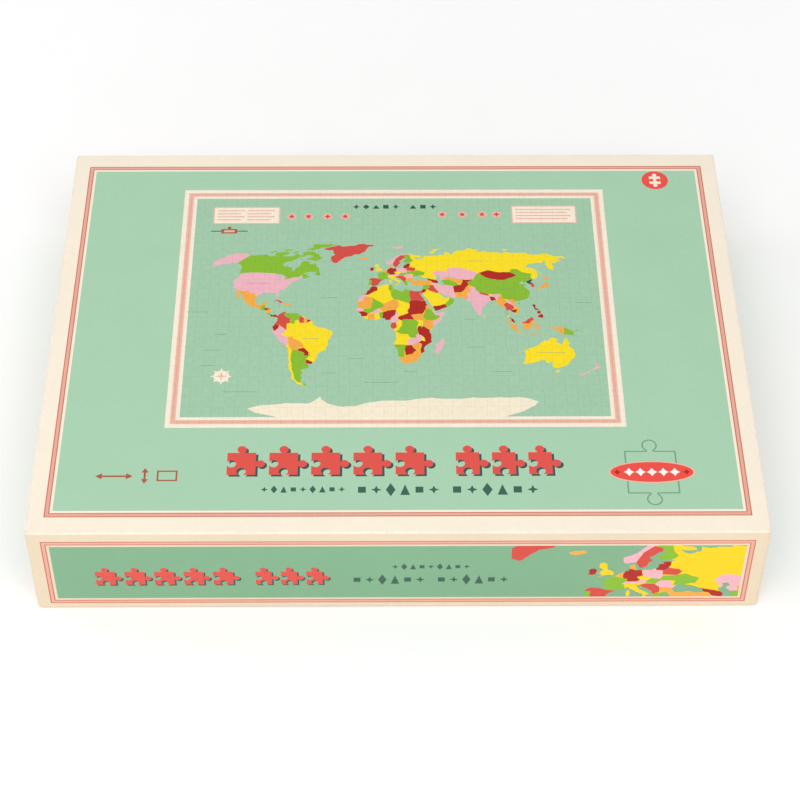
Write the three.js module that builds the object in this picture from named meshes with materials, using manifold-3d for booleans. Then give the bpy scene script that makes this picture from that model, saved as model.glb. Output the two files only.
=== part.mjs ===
// A boxed jigsaw puzzle: a lid and a tray of folded greyboard, each with taped corners and
// a glued paper wrap, and a sealed film bag of loose puzzle pieces in the tray.
// Millimetres, +Z up. The origin is the middle of the footprint, on the surface that the
// box stands on. X runs along the box, and the front wall faces -Y.
import * as THREE from 'three';
import { mergeVertices } from 'three/addons/utils/BufferGeometryUtils.js';
import Module from 'manifold-3d';

const wasm = await Module();
wasm.setup();

// ---- Driving dimensions ----
const boxLength = 370; // over the lid's wrap
const boxWidth = 282;
const boxHeight = 61;
const boardThickness = 1.6;
const paperThickness = 0.2;
const glueLine = 0.05; // between two glued layers
const stayRoom = 0.3; // between board and wrap, where the corner stays lie
const slideClearance = 0.75; // between the lid's turn-in and the tray's wrap, on each side
const lidRimHeight = 0.8; // the lid hangs on the tray's rim, just off the floor
const restGap = 0.1; // under the lid's panel, over the tray's rim

const wrapCornerRadius = 1.7; // of the upright edges, over the wrap
const sharpRadius = 0.15; // of a corner that is as sharp as board folds
const topEdgeRadius = 1.0;
const rimRadius = 0.5; // of the paper where it folds over a rim
const lidTurnIn = 18; // of the wrap, up inside the lid's walls
const trayTurnIn = 20; // of the wrap, down inside the tray's walls
const trayTurnUnder = 16; // of the wrap, in under the tray's base
const baseSheetInset = 1.5;

const stayThickness = 0.2;
const stayLeg = 18; // along each wall from the corner
const stayEndGap = 3; // from a stay's end to the fold or rim
const cutWidth = 0.3; // of the cut between two walls of a blank

const cornerSteps = 4;
const edgeSteps = 3;

// ---- The bag and its pieces ----
const bagHalfLength = 150; // of the space that the pieces fill
const bagHalfWidth = 116;
const planPower = 3; // 2 is an ellipse, and a higher power a squarer plan
const pileHeight = 32;
const pilePower = 4; // how flat the pile's top is
const pileFloor = 2.9;
const pileSoleShare = 0.86; // of the pile's plan that lies on the bag's floor
const filmThickness = 0.3;
const filmFloor = 2.4;
const filmRoom = 4.6; // over the pile's top, for the pieces lying on it
const filmOverhang = 1.06; // of the film's plan over the pile's
const filmSeamHeight = 13;
const sealLength = 9; // of the welded strip at each end
const sealHalfWidth = 92;
const sealThickness = 0.6;
const sealBite = 6; // how far a strip reaches into the film's rounded end
const ventRadius = 2.5; // of the hole that lets the bag's air out
const ventSides = 16;
const ventPlace = [118, 58];
const planSteps = 40;
const ringSteps = 6;

// ---- A puzzle piece: 40 by 25 of them make a picture of 695 by 510 mm ----
const pieceLength = 17.4;
const pieceWidth = 20.4;
const pieceThickness = 1.9;
const knobRadius = 2.5;
const knobReach = 2.3; // from the edge to the knob's centre
const neckHalfWidth = 1.4;
const cutGap = 0.1; // between a piece's outline and its cell
const knobSteps = 3;
const pieceRows = [5, 7, 8, 8, 7, 5]; // how many loose pieces lie in each row on the pile
const pieceSpacing = 29.6;
const pieceLift = 1.3; // from the pile's top to the underside of a loose piece
const knobShare = 0.5; // of the sides that have a knob, where the others have a socket
const edgePieceShare = 0.15; // of the pieces that come from the picture's edge

const box = new THREE.Group();

// ---- Materials ----
const materials = {
  printedPaper: new THREE.MeshStandardMaterial({ color: '#a8d2b2', roughness: 0.6, metalness: 0 }),
  trayPaper: new THREE.MeshStandardMaterial({ color: '#f3e8d2', roughness: 0.75, metalness: 0 }),
  greyboard: new THREE.MeshStandardMaterial({ color: '#a59c8d', roughness: 0.9, metalness: 0 }),
  paperTape: new THREE.MeshStandardMaterial({ color: '#c9a878', roughness: 0.8, metalness: 0 }),
  film: new THREE.MeshStandardMaterial({ color: '#e8eef0', roughness: 0.15, metalness: 0 }),
  pile: new THREE.MeshStandardMaterial({ color: '#9ac0a4', roughness: 0.8, metalness: 0 }),
  piece: new THREE.MeshStandardMaterial({ color: '#8fbf9a', roughness: 0.55, metalness: 0 }),
};

function addNode(name, geometry, material) {
  const mesh = new THREE.Mesh(geometry, material);
  mesh.name = name;
  box.add(mesh);
  return mesh;
}

function geometryFrom(points, triangles) {
  const geometry = new THREE.BufferGeometry();
  geometry.setAttribute('position', new THREE.Float32BufferAttribute(points.flat(), 3));
  geometry.setIndex(triangles.flat());
  geometry.computeVertexNormals();
  return geometry;
}

// ---- Cutting and joining ----
function toSolid(geometry) {
  const bare = geometry.clone();
  bare.deleteAttribute('normal');
  bare.deleteAttribute('uv');
  const merged = mergeVertices(bare, 1e-4);
  return new wasm.Manifold(new wasm.Mesh({
    numProp: 3,
    vertProperties: Float32Array.from(merged.attributes.position.array),
    triVerts: Uint32Array.from(merged.index.array),
  }));
}

function fromSolid(solid) {
  const mesh = solid.getMesh();
  const geometry = new THREE.BufferGeometry();
  const positions = Float32Array.from(mesh.vertProperties);
  geometry.setAttribute('position', new THREE.BufferAttribute(positions, 3));
  geometry.setIndex(new THREE.BufferAttribute(Uint32Array.from(mesh.triVerts), 1));
  geometry.computeVertexNormals();
  return geometry;
}

function blockBetween(low, high) {
  const size = high.map((value, axis) => value - low[axis]);
  const block = new THREE.BoxGeometry(...size);
  block.translate(...low.map((value, axis) => value + size[axis] / 2));
  return block;
}

// ---- Folded shells: a profile of [inset, height] points carried round a rounded rectangle ----
function rectangleRing(halfLength, halfWidth, cornerRadius) {
  const ring = [];
  const corners = [[1, 1], [-1, 1], [-1, -1], [1, -1]];
  corners.forEach(([signX, signY], corner) => {
    for (let step = 0; step <= cornerSteps; step += 1) {
      const angle = (corner + step / cornerSteps) * (Math.PI / 2);
      ring.push([
        signX * (halfLength - cornerRadius) + cornerRadius * Math.cos(angle),
        signY * (halfWidth - cornerRadius) + cornerRadius * Math.sin(angle),
      ]);
    }
  });
  return ring;
}

// A quarter round of the profile, from one angle to another about its centre, where
// 0 degrees points outwards and 90 degrees up.
function profileArc(centreInset, centreHeight, radius, from, to) {
  const points = [];
  for (let step = 0; step <= edgeSteps; step += 1) {
    const angle = THREE.MathUtils.degToRad(from + ((to - from) * step) / edgeSteps);
    points.push([centreInset - radius * Math.cos(angle), centreHeight + radius * Math.sin(angle)]);
  }
  return points;
}

// The profile runs down the outside of the walls. A looped profile closes on itself, and an
// open one starts and ends in flat panels that face up and down.
function foldedShell(halfLength, halfWidth, profile, looped) {
  const points = [];
  const triangles = [];
  profile.forEach(([inset, height]) => {
    const radius = Math.max(wrapCornerRadius - inset, sharpRadius);
    rectangleRing(halfLength - inset, halfWidth - inset, radius)
      .forEach(([x, y]) => points.push([x, y, height]));
  });
  const count = points.length / profile.length;
  const bands = looped ? profile.length : profile.length - 1;
  for (let band = 0; band < bands; band += 1) {
    const here = band * count;
    const below = ((band + 1) % profile.length) * count;
    for (let side = 0; side < count; side += 1) {
      const next = (side + 1) % count;
      triangles.push([below + side, below + next, here + next]);
      triangles.push([below + side, here + next, here + side]);
    }
  }
  if (!looped) {
    const last = (profile.length - 1) * count;
    for (let side = 1; side < count - 1; side += 1) {
      triangles.push([0, side, side + 1]);
      triangles.push([last, last + side + 1, last + side]);
    }
  }
  return geometryFrom(points, triangles);
}

// ---- Layers of a wall, as insets from the outside of its wrap ----
const wrapInside = paperThickness;
const boardOutside = paperThickness + stayRoom;
const boardInside = boardOutside + boardThickness;
const turnInOutside = boardInside + glueLine;
const wallInside = turnInOutside + paperThickness;

const lidHalfLength = boxLength / 2;
const lidHalfWidth = boxWidth / 2;
const trayHalfLength = lidHalfLength - wallInside - slideClearance;
const trayHalfWidth = lidHalfWidth - wallInside - slideClearance;

const lidBoardTop = boxHeight - boardOutside;
const lidCeiling = lidBoardTop - boardThickness;
const trayRimHeight = lidCeiling - restGap;
const baseSheetTop = paperThickness;
const turnUnderBottom = baseSheetTop + glueLine;
const trayBoardBottom = turnUnderBottom + paperThickness + glueLine;
const trayFloor = trayBoardBottom + boardThickness;

function lidWrapProfile() {
  const innerRadius = topEdgeRadius - paperThickness;
  const foldInside = lidRimHeight + paperThickness;
  return [
    ...profileArc(topEdgeRadius, boxHeight - topEdgeRadius, topEdgeRadius, 90, 0),
    ...profileArc(rimRadius, lidRimHeight + rimRadius, rimRadius, 0, -90),
    ...profileArc(wallInside - rimRadius, lidRimHeight + rimRadius, rimRadius, -90, -180),
    [wallInside, lidRimHeight + lidTurnIn],
    [turnInOutside, lidRimHeight + lidTurnIn],
    [turnInOutside, foldInside],
    [wrapInside, foldInside],
    ...profileArc(topEdgeRadius, boxHeight - topEdgeRadius, innerRadius, 0, 90),
  ];
}

function lidBoardProfile() {
  const bottom = lidRimHeight + paperThickness + glueLine;
  const radius = topEdgeRadius - boardOutside;
  return [
    ...profileArc(topEdgeRadius, lidBoardTop - radius, radius, 90, 0),
    [boardOutside, bottom],
    [boardInside, bottom],
    [boardInside, lidCeiling],
  ];
}

function trayWrapProfile() {
  const rimInside = trayRimHeight - paperThickness;
  return [
    ...profileArc(rimRadius, trayRimHeight - rimRadius, rimRadius, 90, 0),
    ...profileArc(rimRadius, turnUnderBottom + rimRadius, rimRadius, 0, -90),
    [trayTurnUnder, turnUnderBottom],
    [trayTurnUnder, turnUnderBottom + paperThickness],
    [wrapInside, turnUnderBottom + paperThickness],
    [wrapInside, rimInside],
    [turnInOutside, rimInside],
    [turnInOutside, trayRimHeight - trayTurnIn],
    [wallInside, trayRimHeight - trayTurnIn],
    ...profileArc(wallInside - rimRadius, trayRimHeight - rimRadius, rimRadius, 180, 90),
  ];
}

function trayBoardProfile() {
  const top = trayRimHeight - paperThickness - glueLine;
  return [
    [boardInside, trayFloor],
    [boardInside, top],
    [boardOutside, top],
    [boardOutside, trayBoardBottom],
  ];
}

// The four walls of a blank fold up from its panel, and a narrow cut at each corner shows
// where the short wall meets the long one.
function cutCorners(geometry, halfLength, halfWidth, low, high) {
  let solid = toSolid(geometry);
  const cutEnd = halfLength - boardOutside / 2;
  const cutStart = halfLength - boardInside - glueLine;
  const cutMiddle = halfWidth - boardInside - cutWidth;
  for (const signX of [-1, 1]) {
    for (const signY of [-1, 1]) {
      const xs = [signX * cutStart, signX * cutEnd].sort((a, b) => a - b);
      const ys = [signY * cutMiddle, signY * (cutMiddle + cutWidth)].sort((a, b) => a - b);
      const cut = blockBetween([xs[0], ys[0], low], [xs[1], ys[1], high]);
      solid = solid.subtract(toSolid(cut));
    }
  }
  return fromSolid(solid);
}

// A strip of tape bent round an upright corner, lying between the board and the wrap.
function cornerStay(halfLength, halfWidth, low, high) {
  const outer = wrapInside + glueLine;
  const inner = outer + stayThickness;
  const outerRadius = wrapCornerRadius - outer;
  const innerRadius = wrapCornerRadius - inner;
  const centreX = halfLength - wrapCornerRadius;
  const centreY = halfWidth - wrapCornerRadius;
  const shape = new THREE.Shape();
  shape.moveTo(halfLength - outer, halfWidth - stayLeg);
  shape.lineTo(halfLength - outer, centreY);
  shape.absarc(centreX, centreY, outerRadius, 0, Math.PI / 2, false);
  shape.lineTo(halfLength - stayLeg, halfWidth - outer);
  shape.lineTo(halfLength - stayLeg, halfWidth - inner);
  shape.lineTo(centreX, halfWidth - inner);
  shape.absarc(centreX, centreY, innerRadius, Math.PI / 2, 0, true);
  shape.lineTo(halfLength - inner, halfWidth - stayLeg);
  shape.closePath();
  const stay = new THREE.ExtrudeGeometry(shape, {
    depth: high - low,
    bevelEnabled: false,
    curveSegments: cornerSteps / 2,
  });
  stay.translate(0, 0, low);
  return stay;
}

function addCornerStays(prefix, halfLength, halfWidth, low, high) {
  const quarters = { back_right: [1, 1], back_left: [-1, 1], front_left: [-1, -1], front_right: [1, -1] };
  for (const [place, [signX, signY]] of Object.entries(quarters)) {
    const turned = signX !== signY;
    const spans = turned ? [halfWidth, halfLength] : [halfLength, halfWidth];
    const stay = cornerStay(...spans, low, high);
    const quarterTurns = turned ? (signX < 0 ? 1 : 3) : (signX < 0 ? 2 : 0);
    stay.rotateZ((quarterTurns * Math.PI) / 2);
    addNode(`${prefix}_corner_stay_${place}`, stay, materials.paperTape);
  }
}

// ---- The lid ----
const lidBoard = foldedShell(lidHalfLength, lidHalfWidth, lidBoardProfile(), false);
addNode(
  'lid_board',
  cutCorners(lidBoard, lidHalfLength, lidHalfWidth, 0, lidCeiling - cutWidth),
  materials.greyboard,
);
addNode('lid_wrap', foldedShell(lidHalfLength, lidHalfWidth, lidWrapProfile(), false), materials.printedPaper);
addCornerStays('lid', lidHalfLength, lidHalfWidth, lidRimHeight + stayEndGap, boxHeight - stayEndGap);

// ---- The tray ----
const trayBoard = foldedShell(trayHalfLength, trayHalfWidth, trayBoardProfile(), false);
addNode(
  'tray_board',
  cutCorners(trayBoard, trayHalfLength, trayHalfWidth, trayFloor + cutWidth, boxHeight),
  materials.greyboard,
);
addNode('tray_wrap', foldedShell(trayHalfLength, trayHalfWidth, trayWrapProfile(), true), materials.trayPaper);
addCornerStays('tray', trayHalfLength, trayHalfWidth, trayBoardBottom + stayEndGap, trayRimHeight - stayEndGap);
addNode(
  'tray_base_sheet',
  foldedShell(
    trayHalfLength - baseSheetInset,
    trayHalfWidth - baseSheetInset,
    [[0, baseSheetTop], [0, 0]],
    false,
  ),
  materials.trayPaper,
);

// ---- The bag: pillow shapes over a rounded plan ----
// reach is 0 in the middle of the pile and 1 at the edge of its plan.
function planPoint(reach, turn) {
  const angle = turn * 2 * Math.PI;
  const along = Math.sign(Math.cos(angle)) * Math.abs(Math.cos(angle)) ** (2 / planPower);
  const across = Math.sign(Math.sin(angle)) * Math.abs(Math.sin(angle)) ** (2 / planPower);
  return [bagHalfLength * reach * along, bagHalfWidth * reach * across];
}

function planReach(x, y) {
  const sum = Math.abs(x / bagHalfLength) ** planPower + Math.abs(y / bagHalfWidth) ** planPower;
  return sum ** (1 / planPower);
}

function pileTop(reach) {
  return pileFloor + pileHeight * (1 - reach ** pilePower);
}

// A closed pillow whose upper and lower skins are heights over the plan. They meet in a seam.
function pillow(seamReach, seamHeight, topHeight, floorHeight) {
  const points = [];
  const triangles = [];
  const rings = [];
  const addRing = (reach, height) => {
    rings.push(points.length);
    for (let step = 0; step < planSteps; step += 1) {
      points.push([...planPoint(reach, step / planSteps), height]);
    }
  };
  const reaches = [];
  for (let ring = 1; ring < ringSteps; ring += 1) {
    reaches.push(seamReach * Math.sin((ring / ringSteps) * (Math.PI / 2)));
  }
  points.push([0, 0, topHeight(0)]);
  reaches.forEach((reach) => addRing(reach, topHeight(reach)));
  addRing(seamReach, seamHeight);
  [...reaches].reverse().forEach((reach) => addRing(reach, floorHeight(reach)));
  const bottom = points.length;
  points.push([0, 0, floorHeight(0)]);
  for (let step = 0; step < planSteps; step += 1) {
    const next = (step + 1) % planSteps;
    triangles.push([0, rings[0] + step, rings[0] + next]);
    for (let band = 0; band < rings.length - 1; band += 1) {
      const here = rings[band];
      const below = rings[band + 1];
      triangles.push([below + step, below + next, here + next]);
      triangles.push([below + step, here + next, here + step]);
    }
    const last = rings[rings.length - 1];
    triangles.push([bottom, last + next, last + step]);
  }
  return geometryFrom(points, triangles);
}

function liftTowardsSeam(reach, seamReach, floor, seamHeight) {
  const edgeShare = Math.max(0, (reach / seamReach - pileSoleShare) / (1 - pileSoleShare));
  return floor + (seamHeight - floor) * edgeShare ** 2;
}

const pileSeamHeight = filmSeamHeight - filmRoom / 2;
const pile = pillow(
  1,
  pileSeamHeight,
  (reach) => Math.max(pileTop(reach), pileSeamHeight),
  (reach) => liftTowardsSeam(reach, 1, pileFloor, pileSeamHeight),
);
addNode('piece_pile', pile, materials.pile);

// The film follows the pile at a distance, outside by its own thickness more.
function filmSkin(offset) {
  const seamReach = filmOverhang + offset / bagHalfWidth;
  const span = pileFloor + pileHeight + filmRoom + offset - filmSeamHeight;
  return pillow(
    seamReach,
    filmSeamHeight,
    (reach) => filmSeamHeight + span * (1 - (reach / seamReach) ** pilePower),
    (reach) => liftTowardsSeam(reach, seamReach, filmFloor + filmThickness - offset, filmSeamHeight),
  );
}

function bagFilm() {
  const sealInner = bagHalfLength * filmOverhang - sealBite;
  const sealOuter = bagHalfLength * filmOverhang + sealLength;
  const low = filmSeamHeight - sealThickness / 2;
  const high = filmSeamHeight + sealThickness / 2;
  let film = toSolid(filmSkin(filmThickness));
  for (const side of [-1, 1]) {
    const xs = [side * sealInner, side * sealOuter].sort((a, b) => a - b);
    const strip = blockBetween([xs[0], -sealHalfWidth, low], [xs[1], sealHalfWidth, high]);
    film = film.add(toSolid(strip));
  }
  film = film.subtract(toSolid(filmSkin(0)));
  const vent = new THREE.CylinderGeometry(ventRadius, ventRadius, pileHeight, ventSides);
  vent.rotateX(Math.PI / 2);
  vent.translate(...ventPlace, pileHeight);
  return fromSolid(film.subtract(toSolid(vent)));
}
addNode('bag_film', bagFilm(), materials.film);

// ---- Loose puzzle pieces on top of the pile ----
// One side of a piece, from its start in a direction. bulge is 1 for a knob, -1 for a
// socket and 0 for a straight outer edge of the picture.
function addSide(shape, start, direction, length, bulge) {
  const origin = new THREE.Vector2();
  const place = (along, out) => new THREE.Vector2(along, -out).rotateAround(origin, direction).add(start);
  if (bulge !== 0) {
    const middle = length / 2;
    const centre = place(middle, bulge * knobReach);
    const radius = knobRadius - bulge * cutGap;
    const neckHeight = Math.sqrt(radius ** 2 - neckHalfWidth ** 2);
    const neckAngle = Math.atan2(neckHeight, -neckHalfWidth);
    const neck = place(middle - neckHalfWidth, 0);
    shape.lineTo(neck.x, neck.y);
    const from = bulge > 0 ? neckAngle : -neckAngle;
    const to = bulge > 0 ? Math.PI - neckAngle : neckAngle - Math.PI;
    shape.absarc(centre.x, centre.y, radius, from + direction, to + direction, bulge < 0);
    const neckEnd = place(middle + neckHalfWidth, 0);
    shape.lineTo(neckEnd.x, neckEnd.y);
  }
  const end = place(length, 0);
  shape.lineTo(end.x, end.y);
}

function pieceOutline(bulges) {
  const halfLength = pieceLength / 2 - cutGap;
  const halfWidth = pieceWidth / 2 - cutGap;
  const shape = new THREE.Shape();
  shape.moveTo(-halfLength, -halfWidth);
  addSide(shape, new THREE.Vector2(-halfLength, -halfWidth), 0, 2 * halfLength, bulges[0]);
  addSide(shape, new THREE.Vector2(halfLength, -halfWidth), Math.PI / 2, 2 * halfWidth, bulges[1]);
  addSide(shape, new THREE.Vector2(halfLength, halfWidth), Math.PI, 2 * halfLength, bulges[2]);
  addSide(shape, new THREE.Vector2(-halfLength, halfWidth), -Math.PI / 2, 2 * halfWidth, bulges[3]);
  return shape;
}

function puzzlePiece(bulges) {
  return new THREE.ExtrudeGeometry(pieceOutline(bulges), {
    depth: pieceThickness,
    bevelEnabled: false,
    curveSegments: knobSteps,
  });
}

// A number between 0 and 1 that looks random, and is the same every time.
const scatterStride = [12.9898, 78.233];
const scatterGain = 43758.5453;

function scatter(index, kind) {
  const wave = Math.sin(index * scatterStride[0] + kind * scatterStride[1]) * scatterGain;
  return wave - Math.floor(wave);
}

// The pile's slope at a place, as the direction that stands square on its surface.
function pileNormal(x, y) {
  const step = 0.5;
  const slopeX = (pileTop(planReach(x + step, y)) - pileTop(planReach(x - step, y))) / (2 * step);
  const slopeY = (pileTop(planReach(x, y + step)) - pileTop(planReach(x, y - step))) / (2 * step);
  return new THREE.Vector3(-slopeX, -slopeY, 1).normalize();
}

let pieceNumber = 0;
pieceRows.forEach((count, row) => {
  const y = (row - (pieceRows.length - 1) / 2) * pieceSpacing;
  for (let column = 0; column < count; column += 1) {
    const x = (column - (count - 1) / 2) * pieceSpacing;
    pieceNumber += 1;
    const bulges = [0, 1, 2, 3].map((side) => (scatter(pieceNumber, side) < knobShare ? 1 : -1));
    if (scatter(pieceNumber, 4) < edgePieceShare) {
      bulges[0] = 0;
    }
    const geometry = puzzlePiece(bulges);
    const name = `puzzle_piece_${String(pieceNumber).padStart(2, '0')}`;
    const piece = addNode(name, geometry, materials.piece);
    const normal = pileNormal(x, y);
    const lean = new THREE.Quaternion().setFromUnitVectors(new THREE.Vector3(0, 0, 1), normal);
    const turn = new THREE.Quaternion().setFromAxisAngle(
      new THREE.Vector3(0, 0, 1),
      scatter(pieceNumber, 5) * 2 * Math.PI,
    );
    piece.quaternion.multiplyQuaternions(lean, turn);
    piece.position.set(x, y, pileTop(planReach(x, y))).addScaledVector(normal, pieceLift);
  }
});

export default box;
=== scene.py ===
"""A boxed jigsaw puzzle: the looks of its printed lid, tray, film bag and loose pieces.

Lengths in the tables are millimetres, and mm() turns them into the metres that Blender uses.
X runs along the box, the front wall faces -Y, and the box stands on z = 0.
"""

import math
import random

import bmesh
import bpy
import numpy as np
from mathutils import Matrix, Quaternion, Vector
from mathutils.geometry import delaunay_2d_cdt


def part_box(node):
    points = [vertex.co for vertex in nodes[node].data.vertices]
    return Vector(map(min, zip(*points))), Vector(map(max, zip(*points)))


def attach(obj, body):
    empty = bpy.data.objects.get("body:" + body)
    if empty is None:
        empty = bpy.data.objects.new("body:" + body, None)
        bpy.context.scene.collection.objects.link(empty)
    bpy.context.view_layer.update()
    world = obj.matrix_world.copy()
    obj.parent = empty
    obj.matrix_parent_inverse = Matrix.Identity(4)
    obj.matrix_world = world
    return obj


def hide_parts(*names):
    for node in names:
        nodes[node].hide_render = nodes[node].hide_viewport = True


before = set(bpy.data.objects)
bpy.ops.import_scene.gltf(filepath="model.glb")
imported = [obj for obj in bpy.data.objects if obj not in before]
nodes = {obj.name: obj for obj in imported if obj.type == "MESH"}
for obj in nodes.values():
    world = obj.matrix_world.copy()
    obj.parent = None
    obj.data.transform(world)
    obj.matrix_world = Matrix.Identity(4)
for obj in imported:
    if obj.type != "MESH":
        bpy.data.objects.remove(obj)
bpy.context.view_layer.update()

MM = 0.001
TAU = 2 * math.pi


def mm(*values):
    """A vector in metres from lengths in millimetres."""
    return Vector([value * MM for value in values])


lid_low, lid_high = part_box("lid_wrap")
BOX_LENGTH = (lid_high.x - lid_low.x) / MM
BOX_WIDTH = (lid_high.y - lid_low.y) / MM
BOX_HEIGHT = lid_high.z / MM
LID_RIM = lid_low.z / MM
HALF_LENGTH = BOX_LENGTH / 2
HALF_WIDTH = BOX_WIDTH / 2


# ---- Camera and light. Angles are degrees, and the lens and its sensor are millimetres ----
SENSOR = 36
LENS = 98
NEAREST_SEEN = 0.05  # metres, like the next one
FURTHEST_SEEN = 20
CAMERA_ELEVATION = 47.58
CAMERA_AZIMUTH = -0.57
CAMERA_ROLL = 0.28
CAMERA_DISTANCE = 3.182 * BOX_LENGTH
CAMERA_TARGET = (0.0044 * BOX_LENGTH, -0.066 * BOX_LENGTH, BOX_HEIGHT / 2)


def add_camera():
    """Looks down on the box from the front, turned and rolled by the angles above."""
    data = bpy.data.cameras.new("camera")
    data.lens = LENS
    data.sensor_width = SENSOR
    data.clip_start = NEAREST_SEEN
    data.clip_end = FURTHEST_SEEN
    camera = bpy.data.objects.new("camera", data)
    bpy.context.scene.collection.objects.link(camera)
    elevation = math.radians(CAMERA_ELEVATION)
    azimuth = math.radians(CAMERA_AZIMUTH)
    back = Vector((
        math.sin(azimuth) * math.cos(elevation),
        -math.cos(azimuth) * math.cos(elevation),
        math.sin(elevation),
    ))
    right = Vector((math.cos(azimuth), math.sin(azimuth), 0))
    up = back.cross(right)
    roll = math.radians(CAMERA_ROLL)
    rolled_right = math.cos(roll) * right + math.sin(roll) * up
    rolled_up = -math.sin(roll) * right + math.cos(roll) * up
    turn = Matrix((rolled_right, rolled_up, back)).transposed().to_4x4()
    place = mm(*CAMERA_TARGET) + back * CAMERA_DISTANCE * MM
    camera.matrix_world = Matrix.Translation(place) @ turn
    bpy.context.scene.camera = camera


def add_area_light(name, place, target, size, watts):
    """A rectangular softbox that faces its target."""
    data = bpy.data.lights.new(name, "AREA")
    data.shape = "RECTANGLE"
    data.size = size[0]
    data.size_y = size[1]
    data.energy = watts
    light = bpy.data.objects.new(name, data)
    light.location = place
    light.rotation_euler = (Vector(target) - Vector(place)).to_track_quat("-Z", "Y").to_euler()
    bpy.context.scene.collection.objects.link(light)


# The studio's white walls, all the same round the box: they begin to darken at the first
# height and are darkest from the second one up. Heights are the z of a direction of length 1.
WALL_HEIGHTS = (0.05, 0.5)
WALL_STRENGTHS = (1.0, 0.53)

# Each softbox's place, target and size in metres, and its watts
SOFTBOXES = {
    "softbox_above": ((0.0, -1.25, 1.9), (0, -0.15, 0), (2.4, 1.5), 28.5),
    "softbox_left": ((-1.2, 0.1, 0.9), (0, 0, 0), (0.9, 0.9), 2.5),
}


def add_studio():
    """White walls and two softboxes, with colours shown as they are."""
    world = bpy.data.worlds.new("studio")
    world.use_nodes = True
    background = world.node_tree.nodes["Background"]
    background.inputs["Color"].default_value = (1, 1, 1, 1)
    towards = world.node_tree.nodes.new("ShaderNodeTexCoord").outputs["Generated"]
    axes = world.node_tree.nodes.new("ShaderNodeSeparateXYZ")
    strength = world.node_tree.nodes.new("ShaderNodeMapRange")
    for socket, number in zip(strength.inputs[1:], (*WALL_HEIGHTS, *WALL_STRENGTHS)):
        socket.default_value = number
    world.node_tree.links.new(towards, axes.inputs[0])
    world.node_tree.links.new(axes.outputs["Z"], strength.inputs["Value"])
    world.node_tree.links.new(strength.outputs[0], background.inputs["Strength"])
    bpy.context.scene.world = world
    bpy.context.scene.view_settings.view_transform = "Standard"
    bpy.context.scene.view_settings.look = "None"
    for name, (place, target, size, watts) in SOFTBOXES.items():
        add_area_light(name, place, target, size, watts)


# ---- Shader nodes ----
class Shader:
    """A material's node tree, with short calls for the nodes that the finishes share."""

    def __init__(self, name):
        self.material = bpy.data.materials.new(name)
        self.material.use_nodes = True
        self.tree = self.material.node_tree
        self.principled = self.tree.nodes["Principled BSDF"]
        self.place = self.node("ShaderNodeTexCoord").outputs["Object"]

    def node(self, kind, **settings):
        """A new node with these settings."""
        made = self.tree.nodes.new(kind)
        for key, value in settings.items():
            setattr(made, key, value)
        return made

    def feed(self, socket, value):
        """Links a socket to another node's, or sets it to a number or colour."""
        if isinstance(value, bpy.types.NodeSocket):
            self.tree.links.new(value, socket)
        else:
            socket.default_value = value

    def calc(self, operation, *values):
        made = self.node("ShaderNodeMath", operation=operation)
        for socket, value in zip(made.inputs, values):
            self.feed(socket, value)
        return made.outputs[0]

    def axes(self, vector=None):
        """The x, y and z of a vector, or else of the place on the object."""
        made = self.node("ShaderNodeSeparateXYZ")
        self.feed(made.inputs[0], vector or self.place)
        return made.outputs[0], made.outputs[1], made.outputs[2]

    def vector(self, x, y, z):
        made = self.node("ShaderNodeCombineXYZ")
        for socket, value in zip(made.inputs, (x, y, z)):
            self.feed(socket, value)
        return made.outputs[0]

    def noise(self, scale, detail=3.0, roughness=0.5, stretch=None, vector=None):
        place = vector or self.place
        if stretch:
            made = self.node("ShaderNodeMapping")
            self.feed(made.inputs["Vector"], place)
            made.inputs["Scale"].default_value = stretch
            place = made.outputs[0]
        made = self.node("ShaderNodeTexNoise")
        self.feed(made.inputs["Vector"], place)
        made.inputs["Scale"].default_value = scale
        made.inputs["Detail"].default_value = detail
        made.inputs["Roughness"].default_value = roughness
        return made.outputs["Fac"]

    def spread(self, value, low, high, to_low=0.0, to_high=1.0):
        """to_low up to low, to_high from high on, and a straight line between."""
        made = self.node("ShaderNodeMapRange")
        made.clamp = True
        for socket, number in zip(made.inputs, (value, low, high, to_low, to_high)):
            self.feed(socket, number)
        return made.outputs[0]

    def mix(self, factor, first, second):
        made = self.node("ShaderNodeMix", data_type="RGBA")
        self.feed(made.inputs["Factor"], factor)
        self.feed(made.inputs["A"], first)
        self.feed(made.inputs["B"], second)
        return made.outputs["Result"]

    def tint(self, shown, mask, low, high, amount, colour):
        """Lays a colour over what is shown, more and more as the mask goes from low to high."""
        return self.mix(self.spread(mask, low, high, 0.0, amount), shown, linear(*colour))

    def bump(self, height, strength, distance, normal=None):
        made = self.node("ShaderNodeBump")
        made.inputs["Strength"].default_value = strength
        made.inputs["Distance"].default_value = distance
        self.feed(made.inputs["Height"], height)
        if normal:
            self.feed(made.inputs["Normal"], normal)
        return made.outputs[0]

    def set(self, **values):
        """Feeds the surface's own sockets, and gives back the finished material."""
        for key, value in values.items():
            title = key.replace("_", " ").title().replace("Ior", "IOR")
            self.feed(self.principled.inputs[title], value)
        return self.material


def linear(red, green, blue):
    """A shader's colour from one whose channels run from 0 to 255."""

    def one(value):
        share = value / 255
        return share / 12.92 if share <= 0.04045 else ((share + 0.055) / 1.055) ** 2.4

    return (one(red), one(green), one(blue), 1.0)


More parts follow.
